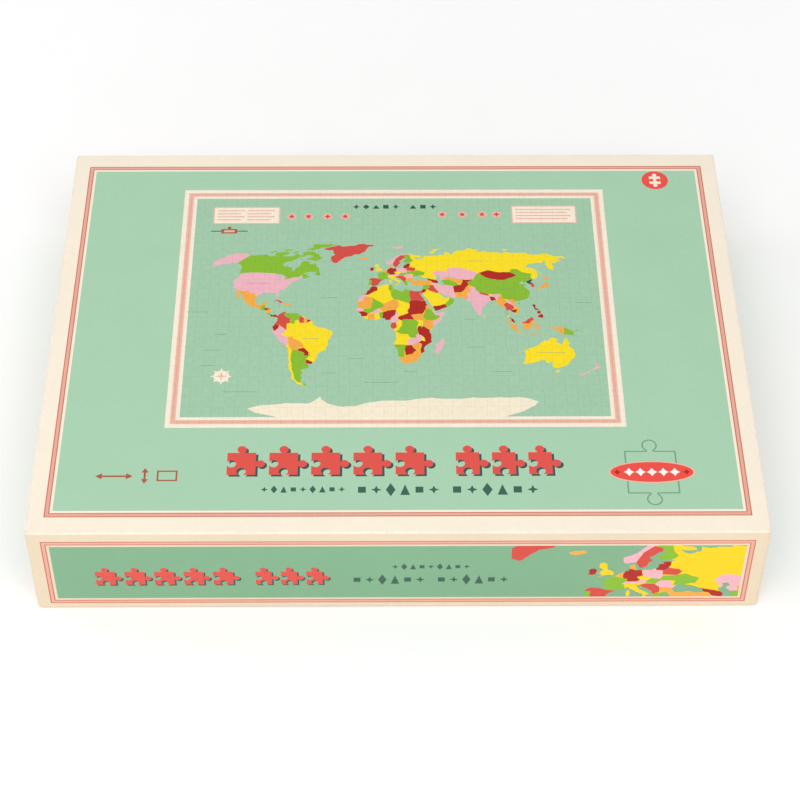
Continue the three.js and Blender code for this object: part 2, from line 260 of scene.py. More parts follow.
# ---- Inks, as the colours that they show in flat white light. The wall inks are darker copies of mint, cream and yellow: painted shade on the walls ----
INKS = {
    "cream": (251, 239, 219),
    "coral": (234, 174, 152),
    "frame_line": (208, 116, 100),
    "mint": (170, 210, 178),
    "sea": (164, 204, 172),
    "salmon": (240, 188, 166),
    "yellow": (254, 225, 26),
    "green": (138, 190, 46),
    "pink": (242, 182, 194),
    "orange": (248, 172, 68),
    "red": (216, 76, 66),
    "dark_red": (178, 32, 22),
    "title_red": (226, 84, 74),
    "badge_red": (240, 80, 70),
    "navy": (58, 82, 84),
    "navy_faint": (120, 156, 132),
    "dark_green": (62, 98, 84),
    "rust": (176, 92, 66),
    "white": (252, 248, 240),
    "grid_green": (120, 160, 132),
    "paper_back": (240, 236, 226),
    # Mint, cream and yellow again, darkened as painted shade for the walls
    "side_mint": (130, 177, 139),
    "side_cream": (234, 214, 187),
    "side_yellow": (254, 212, 8),
    "map_cream": (248, 236, 210),
}
# The walls print mint, cream and yellow in their darker copies: painted shade, as if less light fell on them
WALL_SHADE_INKS = {"mint": "side_mint", "cream": "side_cream", "yellow": "side_yellow"}

# ---- The puzzle's picture, as printed on the lid ----
INSET = (-120.3, -71.4, 118.2, 110.6)
PICTURE_COLUMNS = 40
PICTURE_ROWS = 25
CUT_LINE = 0.11  # half the width of a cut line
CUT_WAVE = 0.14  # how far the cut lines wander, in shares of a piece
KNOB_RADIUS = 0.95
KNOB_OFFSET = 0.18  # how far a knob's centre is from its cut line, in shares of a piece
PRINT_DEPTH = 0.5  # what lies less than this under the panel's top is on the panel

# ---- Wear and folds of the paper ----
WEAR_REACH = 2.6
SCUFF_AMOUNT = 1.6
SCUFF_RANGE = (2.35, 2.9)  # nearness to the edges and scuffs, added up, where wear begins and ends
FLAP_LENGTH = 16
FLAP_SLOPE = 0.5
WALL_DEPTH = 0.4  # what lies less than this behind a short wall's face is on that wall


def cut_lines(shader):
    """1 on the printed cut lines of the picture, and 0 elsewhere."""
    x, y, z = shader.axes()
    cell_x = (INSET[2] - INSET[0]) / PICTURE_COLUMNS
    cell_y = (INSET[3] - INSET[1]) / PICTURE_ROWS
    u = shader.calc("DIVIDE", shader.calc("SUBTRACT", x, INSET[0] * MM), cell_x * MM)
    v = shader.calc("DIVIDE", shader.calc("SUBTRACT", y, INSET[1] * MM), cell_y * MM)
    wave = shader.noise(0.9, detail=1.0, vector=shader.vector(u, v, 0.0))
    shift = shader.spread(wave, 0.2, 0.8, -CUT_WAVE, CUT_WAVE)
    lines = None
    for across, along, cell, length in ((u, v, cell_x, cell_y), (v, u, cell_y, cell_x)):
        bent = shader.calc("ADD", across, shift)
        number = shader.calc("ROUND", bent)
        away = shader.calc("SUBTRACT", bent, number)
        middle = shader.calc("SUBTRACT", shader.calc("FRACT", along), 0.5)
        which = shader.node("ShaderNodeTexWhiteNoise", noise_dimensions="2D")
        corner = shader.vector(number, shader.calc("FLOOR", along), 0.0)
        shader.feed(which.inputs["Vector"], corner)
        side = shader.calc("SIGN", shader.calc("SUBTRACT", which.outputs["Value"], 0.5))
        centre = shader.calc("MULTIPLY", side, KNOB_OFFSET)
        knob_x = shader.calc("MULTIPLY", shader.calc("SUBTRACT", away, centre), cell)
        knob_y = shader.calc("MULTIPLY", middle, length)
        radius = shader.calc("SQRT", shader.calc(
            "ADD",
            shader.calc("MULTIPLY", knob_x, knob_x),
            shader.calc("MULTIPLY", knob_y, knob_y),
        ))
        off_ring = shader.calc("ABSOLUTE", shader.calc("SUBTRACT", radius, KNOB_RADIUS))
        ring = shader.calc("LESS_THAN", off_ring, CUT_LINE)
        off_line = shader.calc("ABSOLUTE", shader.calc("MULTIPLY", away, cell))
        line = shader.calc("LESS_THAN", off_line, CUT_LINE)
        clear = shader.calc("GREATER_THAN", radius, KNOB_RADIUS)
        both = shader.calc("MAXIMUM", ring, shader.calc("MULTIPLY", line, clear))
        lines = both if lines is None else shader.calc("MAXIMUM", lines, both)
    for value, low, high in ((x, INSET[0], INSET[2]), (y, INSET[1], INSET[3])):
        lines = shader.calc("MULTIPLY", lines, shader.calc("GREATER_THAN", value, low * MM))
        lines = shader.calc("MULTIPLY", lines, shader.calc("LESS_THAN", value, high * MM))
    on_panel = shader.calc("GREATER_THAN", z, (BOX_HEIGHT - PRINT_DEPTH) * MM)
    return shader.calc("MULTIPLY", lines, on_panel)


def edge_wear(shader):
    """Rises to 1 in scuffs along the box's edges and at its corners."""
    x, y, z = shader.axes()

    def past(value, edge):
        return shader.spread(value, (edge - WEAR_REACH) * MM, edge * MM)

    past_x = past(shader.calc("ABSOLUTE", x), HALF_LENGTH)
    past_y = past(shader.calc("ABSOLUTE", y), HALF_WIDTH)
    past_z = past(z, BOX_HEIGHT)
    near = shader.calc("ADD", shader.calc("ADD", past_x, past_y), past_z)
    scuff = shader.noise(260, detail=6.0, roughness=0.7)
    total = shader.calc("ADD", near, shader.calc("MULTIPLY", scuff, SCUFF_AMOUNT))
    return shader.spread(total, *SCUFF_RANGE)


def folded_flaps(shader):
    """1 where the long walls' paper runs on round the corner, under that of the short walls."""
    x, y, _ = shader.axes()
    flap_edge = (HALF_WIDTH - FLAP_LENGTH) * MM
    on_flap = shader.spread(shader.calc("ABSOLUTE", y), flap_edge, flap_edge + FLAP_SLOPE * MM)
    wall_face = (HALF_LENGTH - WALL_DEPTH) * MM
    short_wall = shader.calc("GREATER_THAN", shader.calc("ABSOLUTE", x), wall_face)
    return shader.calc("MULTIPLY", on_flap, short_wall)


def printed_paper(name, colour):
    """Litho print on coated paper: fine fibres, slight mottling, cut lines and scuffed edges."""
    shader = Shader(f"print_{name}")
    base = linear(*colour)
    darker = tuple(channel * 0.86 for channel in base[:3]) + (1.0,)
    mottle = shader.noise(38, detail=5.0, roughness=0.6)
    fibre = shader.noise(900, detail=2.0, stretch=(1.0, 0.35, 1.0))
    grain = shader.calc("MULTIPLY", shader.calc("ADD", mottle, fibre), 0.5)
    shown = shader.mix(shader.spread(grain, 0.34, 0.66, 0.0, 0.34), base, darker)
    lines = cut_lines(shader)
    line_colour = tuple(channel * 0.72 for channel in base[:3]) + (1.0,)
    shown = shader.mix(shader.calc("MULTIPLY", lines, 0.5), shown, line_colour)
    wear = edge_wear(shader)
    shown = shader.mix(shader.calc("MULTIPLY", wear, 0.5), shown, linear(226, 210, 186))
    rough = shader.spread(shader.noise(120, detail=4.0), 0.3, 0.7, 0.36, 0.5)
    rough = shader.calc("ADD", rough, shader.calc("MULTIPLY", wear, 0.3))
    sag = shader.bump(shader.noise(9, detail=1.0), 0.35, 0.0016)
    ridge = shader.bump(folded_flaps(shader), 1.0, 0.0002, normal=sag)
    tooth = shader.bump(fibre, 0.16, 0.00008, normal=ridge)
    dent = shader.bump(lines, 0.25, 0.00005, normal=tooth)
    return shader.set(base_color=shown, roughness=rough, normal=dent, specular_ior_level=0.25)


# ---- Outlines, in the millimetres of the panel that they are printed on ----
def box_outline(left, bottom, right, top):
    """A rectangle's corners, counterclockwise from the lower left."""
    return [(left, bottom), (right, bottom), (right, top), (left, top)]


def ellipse_outline(x, y, half_width, half_height, steps):
    """An ellipse round (x, y), with as many points as steps."""
    turns = [TAU * step / steps for step in range(steps)]
    return [(x + half_width * math.cos(turn), y + half_height * math.sin(turn)) for turn in turns]


def star_outline(x, y, outer, inner, tips):
    """A star with one tip upwards, its tips at the outer radius and its notches at the inner."""
    outline = []
    for step in range(2 * tips):
        turn = math.pi * step / tips + math.pi / 2
        radius = inner if step % 2 else outer
        outline.append((x + radius * math.cos(turn), y + radius * math.sin(turn)))
    return outline


# A knob's measures, in shares of its radius
KNOB_REACH = 0.92  # from the side to the knob's centre
KNOB_NECK = 0.56  # half the width of its neck


def side_points(start, direction, length, bulge, radius, grow, steps):
    """One side of a jigsaw piece. bulge is 1 for a knob, -1 for a socket and 0 for straight."""
    along = Vector((math.cos(direction), math.sin(direction)))
    out = Vector((along.y, -along.x)) * bulge
    bent = radius + bulge * grow
    neck = radius * KNOB_NECK + bulge * grow
    points = [start]
    if bulge and 0 < neck < bent:
        drop = math.sqrt(bent ** 2 - neck ** 2)
        reach = max(radius * KNOB_REACH - bulge * grow, drop + radius * 0.04)
        opening = math.acos(neck / bent)
        middle = start + along * (length / 2)
        centre = middle + out * reach
        points.append(middle - along * neck)
        for step in range(steps + 1):
            turn = (math.pi + 2 * opening) * step / steps - opening
            points.append(centre - along * bent * math.cos(turn) + out * bent * math.sin(turn))
        points.append(middle + along * neck)
    return points


def jigsaw_outline(x, y, width, height, bulges, radius, grow=0.0, steps=9):
    """A jigsaw piece round (x, y), with its sides from the lower one on, counterclockwise.
    grow moves the whole outline outwards, and a negative one inwards."""
    corner = Vector((x - width / 2 - grow, y - height / 2 - grow))
    outline = []
    lengths = (width, height, width, height)
    for side, (length, bulge) in enumerate(zip(lengths, bulges)):
        direction = side * math.pi / 2
        length += 2 * grow
        outline.extend(side_points(corner, direction, length, bulge, radius, grow, steps))
        corner = corner + Vector((math.cos(direction), math.sin(direction))) * length
    return [tuple(point) for point in outline]


def within(places, outline):
    """Which of the places lie inside an outline, by counting its sides to the right of each."""
    x, y = places[:, 0], places[:, 1]
    inside = np.full(len(places), False)
    for (ax, ay), (bx, by) in zip(outline, outline[1:] + outline[:1]):
        if ay != by:
            crosses = (ay > y) != (by > y)
            inside ^= crosses & (x < ax + (y - ay) * (bx - ax) / (by - ay))
    return inside


class Print:
    """What is printed on one flat panel: layers of ink, where a later one covers an earlier."""

    def __init__(self, other_inks=None):
        self.layers = []
        self.other_inks = other_inks or {}

    def add(self, ink, outline, group=None, needs=None):
        """group names what a layer belongs to, and needs names the group that it shows on."""
        self.layers.append((self.other_inks.get(ink, ink), outline, group, needs))

    def box(self, ink, left, bottom, right, top):
        self.add(ink, box_outline(left, bottom, right, top))

    def bands(self, left, bottom, right, top, bands):
        """Nested rectangles: each band is an ink and how far the next one lies inside it."""
        inset = 0
        for ink, width in bands:
            self.box(ink, left + inset, bottom + inset, right - inset, top - inset)
            inset += width

    def cut(self):
        """The panel's points, and its triangles with the ink of each."""
        points = []
        faces = []
        for _, outline, _, _ in self.layers:
            faces.append(list(range(len(points), len(points) + len(outline))))
            points.extend(Vector(point) for point in outline)
        flat, _, triangles, *_ = delaunay_2d_cdt(points, [], faces, 0, 1e-5, False)
        places = np.array([point[:] for point in flat])
        middles = places[np.array(triangles)].mean(axis=1)
        inks = np.full(len(triangles), -1)
        covered = {None: np.full(len(triangles), True)}
        names = []
        for ink, outline, group, needs in self.layers:
            inside = within(middles, outline) & covered.get(needs, False)
            if group:
                covered[group] = covered.get(group, False) | inside
            if ink:
                inks[inside] = len(names)
                names.append(ink)
        base = within(middles, self.layers[0][1])
        return flat, [
            (triangle, names[ink]) for triangle, ink, kept in zip(triangles, inks, base) if kept
        ]


# ---- The printed map. Coasts and borders are simple outlines in degrees east and north ----
COASTS = [
    # North America, from the Bering Strait eastwards round the coast
    ("green", [
        (-168, 65.6), (-162, 66.6), (-166.5, 68.3), (-156.5, 71.3), (-146, 70.2), (-136, 69), (-128, 70),
        (-114, 68.3), (-101, 67.8), (-95, 68), (-94, 71.8), (-88, 69), (-82, 69.6), (-81.5, 67.5),
        (-87, 66), (-88, 64), (-93, 62), (-94.5, 59), (-92.5, 57), (-88, 56.6), (-82.2, 55.1), (-82, 52.9),
        (-79.5, 51.3), (-78.8, 52.6), (-79.5, 54.7), (-76.6, 57.2), (-78.3, 60), (-77.8, 62.4),
        (-73.8, 62.4), (-69.5, 61), (-69.5, 58.9), (-66, 58.8), (-64.5, 60.3), (-61.5, 57), (-57.5, 54.6),
        (-56, 52.2), (-60, 50.2), (-66.5, 50.2), (-69, 48.4), (-65, 48.8), (-64.5, 46.3), (-61, 45.4),
        (-65.7, 43.6), (-67, 44.8), (-70, 43.7), (-70, 41.7), (-74, 40.5), (-76, 37), (-76, 35),
        (-81, 31.9), (-80.1, 26.5), (-81.3, 25.2), (-82.7, 28), (-84, 30), (-89.5, 30.2), (-90, 29.2),
        (-94.5, 29.5), (-97.3, 27.5), (-97.7, 22.5), (-95.8, 18.8), (-92, 18.6), (-90.4, 21), (-87, 21.5),
        (-88.3, 17), (-88.5, 15.8), (-83.3, 15), (-83.7, 11), (-81.5, 9), (-79.5, 9.6), (-77, 8.6),
        (-78, 7.3), (-80, 7.4), (-83, 8.2), (-85.7, 10), (-87.7, 12.9), (-92, 14.4), (-95, 16.1),
        (-99, 16.6), (-105.4, 20), (-105.5, 22.5), (-109.4, 26), (-112.8, 30), (-114.4, 31.2),
        (-112.8, 28), (-109.5, 23.2), (-112.2, 24.8), (-115, 28), (-117, 32.5), (-120.6, 34.6),
        (-124.2, 40), (-124.3, 43), (-124.5, 48.3), (-123, 49), (-127.5, 51), (-130.3, 54.8),
        (-135, 58.3), (-140, 59.8), (-146, 60.8), (-151.5, 59.2), (-154, 59), (-158.5, 56.2),
        (-163.5, 54.7), (-158, 58.5), (-162, 58.7), (-162.5, 60.2), (-166, 61.6), (-161, 64.4),
        (-166.5, 64.5),
    ]),
    ("green", [(-125.5, 72.2), (-123, 71.2), (-119, 73), (-122, 74.3)]),
    ("green", [(-117, 70.2), (-113, 68.7), (-105, 69), (-102, 70.5), (-105.5, 73), (-112, 73), (-118, 71.7)]),
    ("green", [
        (-61.5, 66.5), (-65, 62.5), (-72, 63.5), (-78, 64.7), (-73.5, 66.5), (-72.8, 68.5), (-79, 70),
        (-89, 70.8), (-89, 73.5), (-81, 73.6), (-76, 72.7), (-68.5, 70.3), (-67, 68.5),
    ]),
    ("green", [(-92, 75), (-80, 74.6), (-80, 76), (-90, 76.5)]),
    ("green", [
        (-90, 76.6), (-78, 76.5), (-76, 78.5), (-64, 81.5), (-62, 82.8), (-80, 83), (-92, 81.5),
        (-86, 79),
    ]),
    ("green", [(-117, 75.2), (-106, 75), (-105, 76.4), (-115, 76.3)]),
    ("green", [(-101, 71.5), (-96, 71.5), (-93, 73.8), (-100, 73.8)]),
    ("green", [(-87, 64), (-80.5, 64), (-83, 66)]),
    ("green", [(-59.3, 47.7), (-53, 46.7), (-53.5, 49), (-55.6, 51.4), (-58, 49.5)]),
    ("green", [(-128, 50.7), (-125, 49), (-123.5, 48.4), (-125, 49.9)]),
    # Greenland and Iceland
    ("red", [
        (-43.8, 60), (-48, 61), (-51.5, 64), (-53.6, 67), (-51, 69.8), (-54.5, 71.5), (-58.5, 75.5),
        (-68.5, 76.1), (-71, 77.2), (-66, 79.2), (-60, 82), (-33, 83.5), (-22, 82.2), (-12.5, 81.4),
        (-18, 79.8), (-19.5, 77), (-20, 74.5), (-22, 72.2), (-24, 70.3), (-32, 68.2), (-39.5, 65.5),
        (-42.5, 62),
    ]),
    ("orange", [(-22.5, 64), (-18.8, 63.5), (-13.7, 65), (-16, 66.4), (-20.5, 66), (-24.2, 65.6), (-22, 65)]),
    # The Caribbean
    ("red", [(-84.8, 21.9), (-79, 21.6), (-77.5, 19.9), (-75, 20.5), (-81, 23.2)]),
    ("orange", [(-74.2, 19.8), (-74.2, 18.4), (-71.5, 17.8), (-68.5, 18.8)]),
    ("green", [(-78.3, 18.4), (-77, 17.8), (-76.3, 18)]),
    # South America, from Panama eastwards
    ("yellow", [
        (-77.3, 8.5), (-75.5, 10.6), (-71.8, 12.3), (-71.5, 10.9), (-68, 10.8), (-62, 10.6), (-59.8, 8.3),
        (-55, 6), (-51.5, 4.3), (-50, 0.5), (-48, -1), (-44, -2.7), (-40, -3), (-35.3, -5.5),
        (-35, -8.5), (-37.3, -11.8), (-39, -15), (-39.5, -18.5), (-41, -22), (-44.5, -23.3),
        (-48.5, -25.8), (-48.7, -28.5), (-52.2, -32.5), (-54.2, -34.7), (-58.3, -34.2), (-57, -36.5),
        (-58, -38.3), (-62.2, -39), (-65, -41), (-63.7, -42.6), (-67, -45.5), (-65.8, -47.5),
        (-69, -50.5), (-68.4, -52.4), (-65.2, -54.7), (-69, -55.5), (-73.5, -53), (-75.3, -48),
        (-72.8, -42.5), (-73.6, -38), (-71.7, -33), (-70.5, -26), (-70.2, -20), (-71.5, -17.6),
        (-76.3, -14), (-79, -8), (-81.3, -5), (-80.2, -3), (-80.9, -1.5), (-79, 1.4), (-77.3, 4),
        (-77.8, 7.3),
    ]),
    ("pink", [(-61, -51.5), (-59.5, -52.3), (-58, -51.5)]),
    # Africa, from Tangier eastwards
    ("yellow", [
        (-6, 35.8), (-2, 35), (3, 37), (10, 37.3), (11, 34), (15, 32.3), (19, 30.4), (20.5, 32.7),
        (23, 32.7), (25, 31.6), (29, 31), (32.5, 31.2), (32.6, 29.9), (34, 26.5), (35.5, 24),
        (37.2, 21), (37.3, 18.8), (38.5, 18), (39.7, 15.2), (43.2, 12.5), (43.3, 11.5), (44.5, 10.4),
        (48, 11.2), (51.2, 11.8), (50.8, 9.5), (48, 4.5), (44, 1), (41.5, -2), (39.5, -4.5), (39, -7),
        (40.5, -10.8), (40.7, -15), (37, -17.8), (34.8, -20), (35.5, -24), (32.8, -26), (32.5, -28.5),
        (30.5, -31), (27.5, -33.3), (25.5, -34), (22, -34.2), (19.8, -34.8), (18.3, -34), (17.8, -32),
        (16.4, -28.6), (15, -26.5), (14.5, -22.5), (12, -18), (11.8, -16), (13.7, -12), (13.4, -8.8),
        (12.3, -6), (11.8, -4.5), (9.2, -1.5), (9.6, 1), (9.8, 3), (8.7, 4.5), (6, 4.3), (4.5, 6.3),
        (1.5, 6.1), (-2, 4.8), (-4, 5.2), (-7.7, 4.4), (-10, 6), (-13.2, 8.5), (-14.8, 11),
        (-16.7, 12.5), (-17.4, 14.7), (-16.3, 16.5), (-16.3, 19), (-17, 21), (-16, 23.7), (-14.5, 26),
        (-13, 27.8), (-10, 29.5), (-9.7, 31.5), (-7.5, 33.6),
    ]),
    ("pink", [
        (49.3, -12), (50.4, -15.5), (49.5, -18), (47.2, -24.8), (45, -25.5), (43.5, -23), (44.4, -20),
        (44, -17), (46, -15.7), (48, -13.5),
    ]),
    # Europe and Asia, from Portugal eastwards along the south, and back along the north
    ("yellow", [
        (-9, 37), (-6.3, 36.8), (-5.4, 36), (-2, 36.8), (-0.3, 38.7), (0, 40), (3.2, 42), (3.5, 43.4),
        (6.5, 43.1), (8.8, 44.4), (10.3, 43), (12.3, 41.8), (15.6, 40), (16, 38), (17, 39),
        (16.6, 40.2), (18.5, 40.1), (16, 41.9), (13.6, 43.6), (12.3, 45.3), (13.7, 45.5), (15.5, 44),
        (19.3, 42), (19.4, 40.3), (21.3, 38), (21.7, 36.8), (23, 36.5), (24, 38), (22.8, 39.8),
        (24, 40.8), (26, 40.5), (27, 39), (27.3, 37), (30.5, 36.4), (33.5, 36.1), (36, 36.7),
        (35.8, 34), (34.5, 31.5), (32.5, 31), (32.6, 29.9), (34.3, 27.8), (35, 29.5), (35.3, 27.8),
        (37.5, 24.2), (39.1, 21.5), (42.5, 16.5), (43.3, 12.7), (45, 12.8), (48, 14), (52.2, 15.6),
        (55.5, 17.5), (57.8, 19), (59.8, 22.4), (58.5, 23.7), (56.5, 24.5), (56.3, 26.2), (54, 24.2),
        (51.6, 24.3), (51.4, 26), (50.3, 26), (48.5, 28.5), (48, 30), (50, 30), (51.5, 27.9),
        (54.5, 26.5), (57, 27), (57.5, 25.7), (61.6, 25.1), (66.5, 25.3), (68, 23.6), (70, 22.5),
        (70.3, 20.9), (72.7, 21.2), (72.8, 19), (74, 15), (75.8, 11.5), (77.5, 8.1), (78.2, 9),
        (79.9, 10.3), (80.3, 13.3), (80.2, 15.5), (82.3, 16.6), (85, 19.5), (87, 21.3), (89, 21.8),
        (91.5, 22.6), (92.3, 20.8), (94.4, 18), (94.3, 16), (96, 16.4), (97.4, 16.8), (98.6, 14),
        (98.7, 10), (98.3, 8), (100.4, 6), (101.3, 3), (103.5, 1.3), (104.2, 2.5), (103.3, 4.8),
        (100.6, 7.2), (99.3, 9.3), (100, 13.3), (101, 13.4), (102.8, 11.8), (104.8, 10.4), (105, 8.7),
        (106.8, 10.4), (109.2, 11.8), (109, 15), (106.5, 18), (105.8, 19.5), (108, 21.5), (110, 21.4),
        (110.6, 21.3), (113.7, 22.3), (117, 23.5), (119.5, 25.6), (121.8, 28.8), (121.9, 31.5),
        (120.3, 34), (119.2, 35), (122.5, 37), (120.8, 37.8), (118.9, 37.4), (117.8, 39),
        (121.3, 40.9), (121.5, 38.9), (124.3, 40), (125, 38), (126.5, 36.5), (126.4, 34.5),
        (129.2, 35.3), (129.3, 37.3), (127.5, 39.7), (129.8, 41), (131, 42.9), (135, 43.3),
        (138.5, 46.5), (140.4, 49.5), (141.3, 52.8), (138.5, 53.9), (135.3, 54.8), (139, 57.3),
        (143, 59.3), (150, 59.6), (155, 59.4), (160, 61.7), (163, 61.5), (160, 60), (156.8, 57.6),
        (155.7, 55), (156.6, 51), (158.5, 52.8), (160, 54.5), (163, 56), (163.3, 58), (166.5, 60),
        (170.3, 60), (174.5, 61.8), (179, 62.4), (178, 64.5), (187, 64.5), (190, 66.2), (185, 67.1),
        (180, 68.9), (171, 69.9), (161, 69.6), (150, 71.6), (140, 72.5), (131, 71), (127, 72.5),
        (113, 73.7), (106, 73.2), (113, 75.9), (104.3, 77.7), (98, 76.2), (87, 75), (80.5, 73.5),
        (80.5, 72), (77.5, 72), (75, 68.5), (73.5, 71.2), (72.6, 73), (68.6, 72), (66.8, 69.8),
        (68.5, 68.3), (64.5, 69.2), (60.5, 69.8), (60, 68.6), (54, 68.4), (48.2, 67.6), (44, 68.5),
        (43.5, 66.3), (39.8, 64.8), (37, 63.9), (34.8, 64.6), (32.8, 67), (41, 66.4), (41, 67.8),
        (33, 69.5), (28, 71), (23.5, 70.6), (18, 69.5), (14, 67.3), (11.2, 64.5), (5.2, 62),
        (5.1, 60), (5.8, 58.5), (7.5, 58.1), (10.6, 59.2), (11.3, 58.5), (12.8, 55.8), (14.3, 55.5),
        (16.4, 56.8), (16.8, 58.6), (18.8, 59.9), (17.3, 61.5), (21.2, 64.5), (24.2, 65.8), (25.4, 65),
        (21.4, 62.5), (21.5, 60.8), (25, 60.2), (29.5, 60), (28, 59.5), (23.5, 59.2), (24.4, 58),
        (21.8, 57.4), (21, 55.3), (18.8, 54.5), (14.2, 54), (11, 54), (10.9, 56.5), (10.5, 57.7),
        (8.2, 57), (8.6, 55.4), (8.5, 54), (6.7, 53.5), (4.5, 52.3), (3, 51.3), (1.6, 50.3),
        (-1.3, 49.5), (-1.6, 48.7), (-4.7, 48.5), (-2.3, 47.2), (-1.2, 45), (-1.6, 43.4), (-8, 43.7),
        (-9.2, 42.5), (-8.8, 40), (-9.5, 38.7),
    ]),
    ("yellow", [
        (-5.5, 50.1), (1.3, 51.2), (1.7, 52.7), (-1.5, 54.8), (-2, 57.6), (-3.3, 58.6), (-5.2, 58.5),
        (-5.6, 56.3), (-3.2, 54.5), (-4.6, 53.2), (-5.2, 51.9), (-3, 51.4),
    ]),
    ("dark_red", [(-10, 51.6), (-6.3, 52.2), (-6, 54.2), (-7.3, 55.3), (-10, 54), (-9.3, 53)]),
    ("yellow", [(8.3, 39), (9.7, 39.3), (9.4, 42.8), (8.6, 42), (8.3, 40.7)]),
    ("yellow", [(12.6, 38), (15, 36.7), (15.6, 38.2)]),
    ("pink", [(14, 77), (17.5, 76.8), (25, 79.8), (20, 80.3), (11, 79.5)]),
    ("yellow", [(51.8, 71.5), (57, 70.7), (58, 73), (68, 76.5), (60, 76), (54, 73.5)]),
    ("yellow", [(138, 75), (148, 75), (141, 76)]),
    ("yellow", [(142, 46.2), (143.2, 49.3), (143, 53.5), (142, 53), (142, 49.5)]),
    # The islands of East Asia and the Pacific
    ("orange", [(140, 41.7), (143.2, 42), (145.5, 43.3), (141.8, 45.4), (141, 43.2)]),
    ("orange", [
        (131, 34), (135.7, 33.6), (139, 35), (140.8, 35.7), (142, 39.5), (141, 41.3), (140, 40),
        (138.5, 37.4), (136.7, 36.8), (132.8, 35.4),
    ]),
    ("orange", [(130, 33.7), (130, 32.3), (131, 31.3), (132, 33.6)]),
    ("red", [(120.2, 23), (121, 22.1), (121.5, 25.2)]),
    ("green", [(108.7, 19.2), (109.7, 18.3), (111, 19.9)]),
    ("yellow", [(80, 9.7), (80.3, 6), (81.8, 7.3)]),
    ("dark_red", [(120.4, 18.5), (120.8, 14), (124, 13), (121.6, 15.5), (122.2, 18.4)]),
    ("dark_red", [(122, 7), (125.4, 5.8), (126.4, 8.2), (125.3, 9.7), (123.5, 8.6)]),
    ("dark_red", [(122, 11.8), (122.8, 9.6), (124.8, 10.3), (125, 12.4)]),
    ("orange", [(95.4, 5.5), (98.7, 1.7), (102, -3.8), (105.7, -5.9), (106, -3), (103.7, 0), (98, 4.1)]),
    ("orange", [(105.2, -6.5), (106.4, -7.3), (114.3, -8.6), (114.5, -7.8), (108.5, -6.7)]),
    ("orange", [
        (109, 1.6), (110.3, -2.8), (114.5, -4), (116.3, -3.8), (117.8, 1), (119, 5), (116.8, 7),
        (113.8, 4.6), (111.3, 2.5),
    ]),
    ("orange", [
        (118.9, -3.3), (119.5, -5.4), (120.4, -5.5), (120.5, -2.9), (122.5, -5.3), (121.8, -3),
        (123.2, -0.9), (121.4, -1.4), (120.6, 0.2), (125, 1.5), (120.8, 1.3), (119.8, -0.5),
    ]),
    ("orange", [(116, -8.5), (119, -9), (122.8, -8.6), (122.8, -8.2), (118, -8.1)]),
    ("orange", [(123.6, -10.3), (125, -9.3), (127, -8.4)]),
    ("orange", [
        (131, -0.9), (132.8, -2.8), (133.2, -4), (137.8, -5.2), (138, -8.3), (141, -9.1), (143.4, -8.8),
        (147, -9.5), (150.8, -10.5), (147.8, -6), (144.5, -3.9), (138, -1.7), (135, -3.3), (134, -0.9),
    ]),
    ("green", [(148.5, -5.8), (149.8, -6.3), (151.5, -5.6), (152, -4.2)]),
    ("yellow", [
        (113.7, -22.5), (114.2, -26.3), (115.7, -31.7), (115, -34.3), (118, -35), (123.8, -33.9),
        (129, -31.6), (131.2, -31.5), (135.5, -34.8), (137.8, -32.8), (138.2, -35.4), (140.5, -38),
        (143.6, -38.8), (147.5, -38), (150, -37.3), (151.5, -33), (153.6, -28.5), (152.5, -25),
        (149, -21), (146.2, -18.9), (145.3, -15), (142.5, -10.7), (141.6, -13.5), (140.8, -17.5),
        (139, -17.4), (135.5, -15), (136.8, -12.2), (132.5, -11.2), (130.7, -12.5), (129.3, -14.9),
        (126.8, -13.9), (123.8, -16.5), (122.2, -18.3), (119, -20), (116.8, -20.6),
    ]),
    ("yellow", [(144.7, -40.7), (145.5, -42.8), (147.5, -43.4), (148.3, -40.9)]),
    ("pink", [
        (172.8, -34.5), (174.7, -37), (173.8, -39.3), (175.2, -41.5), (176.8, -40), (178.4, -37.7),
        (175.5, -36.6),
    ]),
    ("pink", [(172.7, -40.6), (170.6, -42.7), (166.6, -45.9), (169, -46.6), (171.2, -44.3), (174.2, -41.7)]),
]

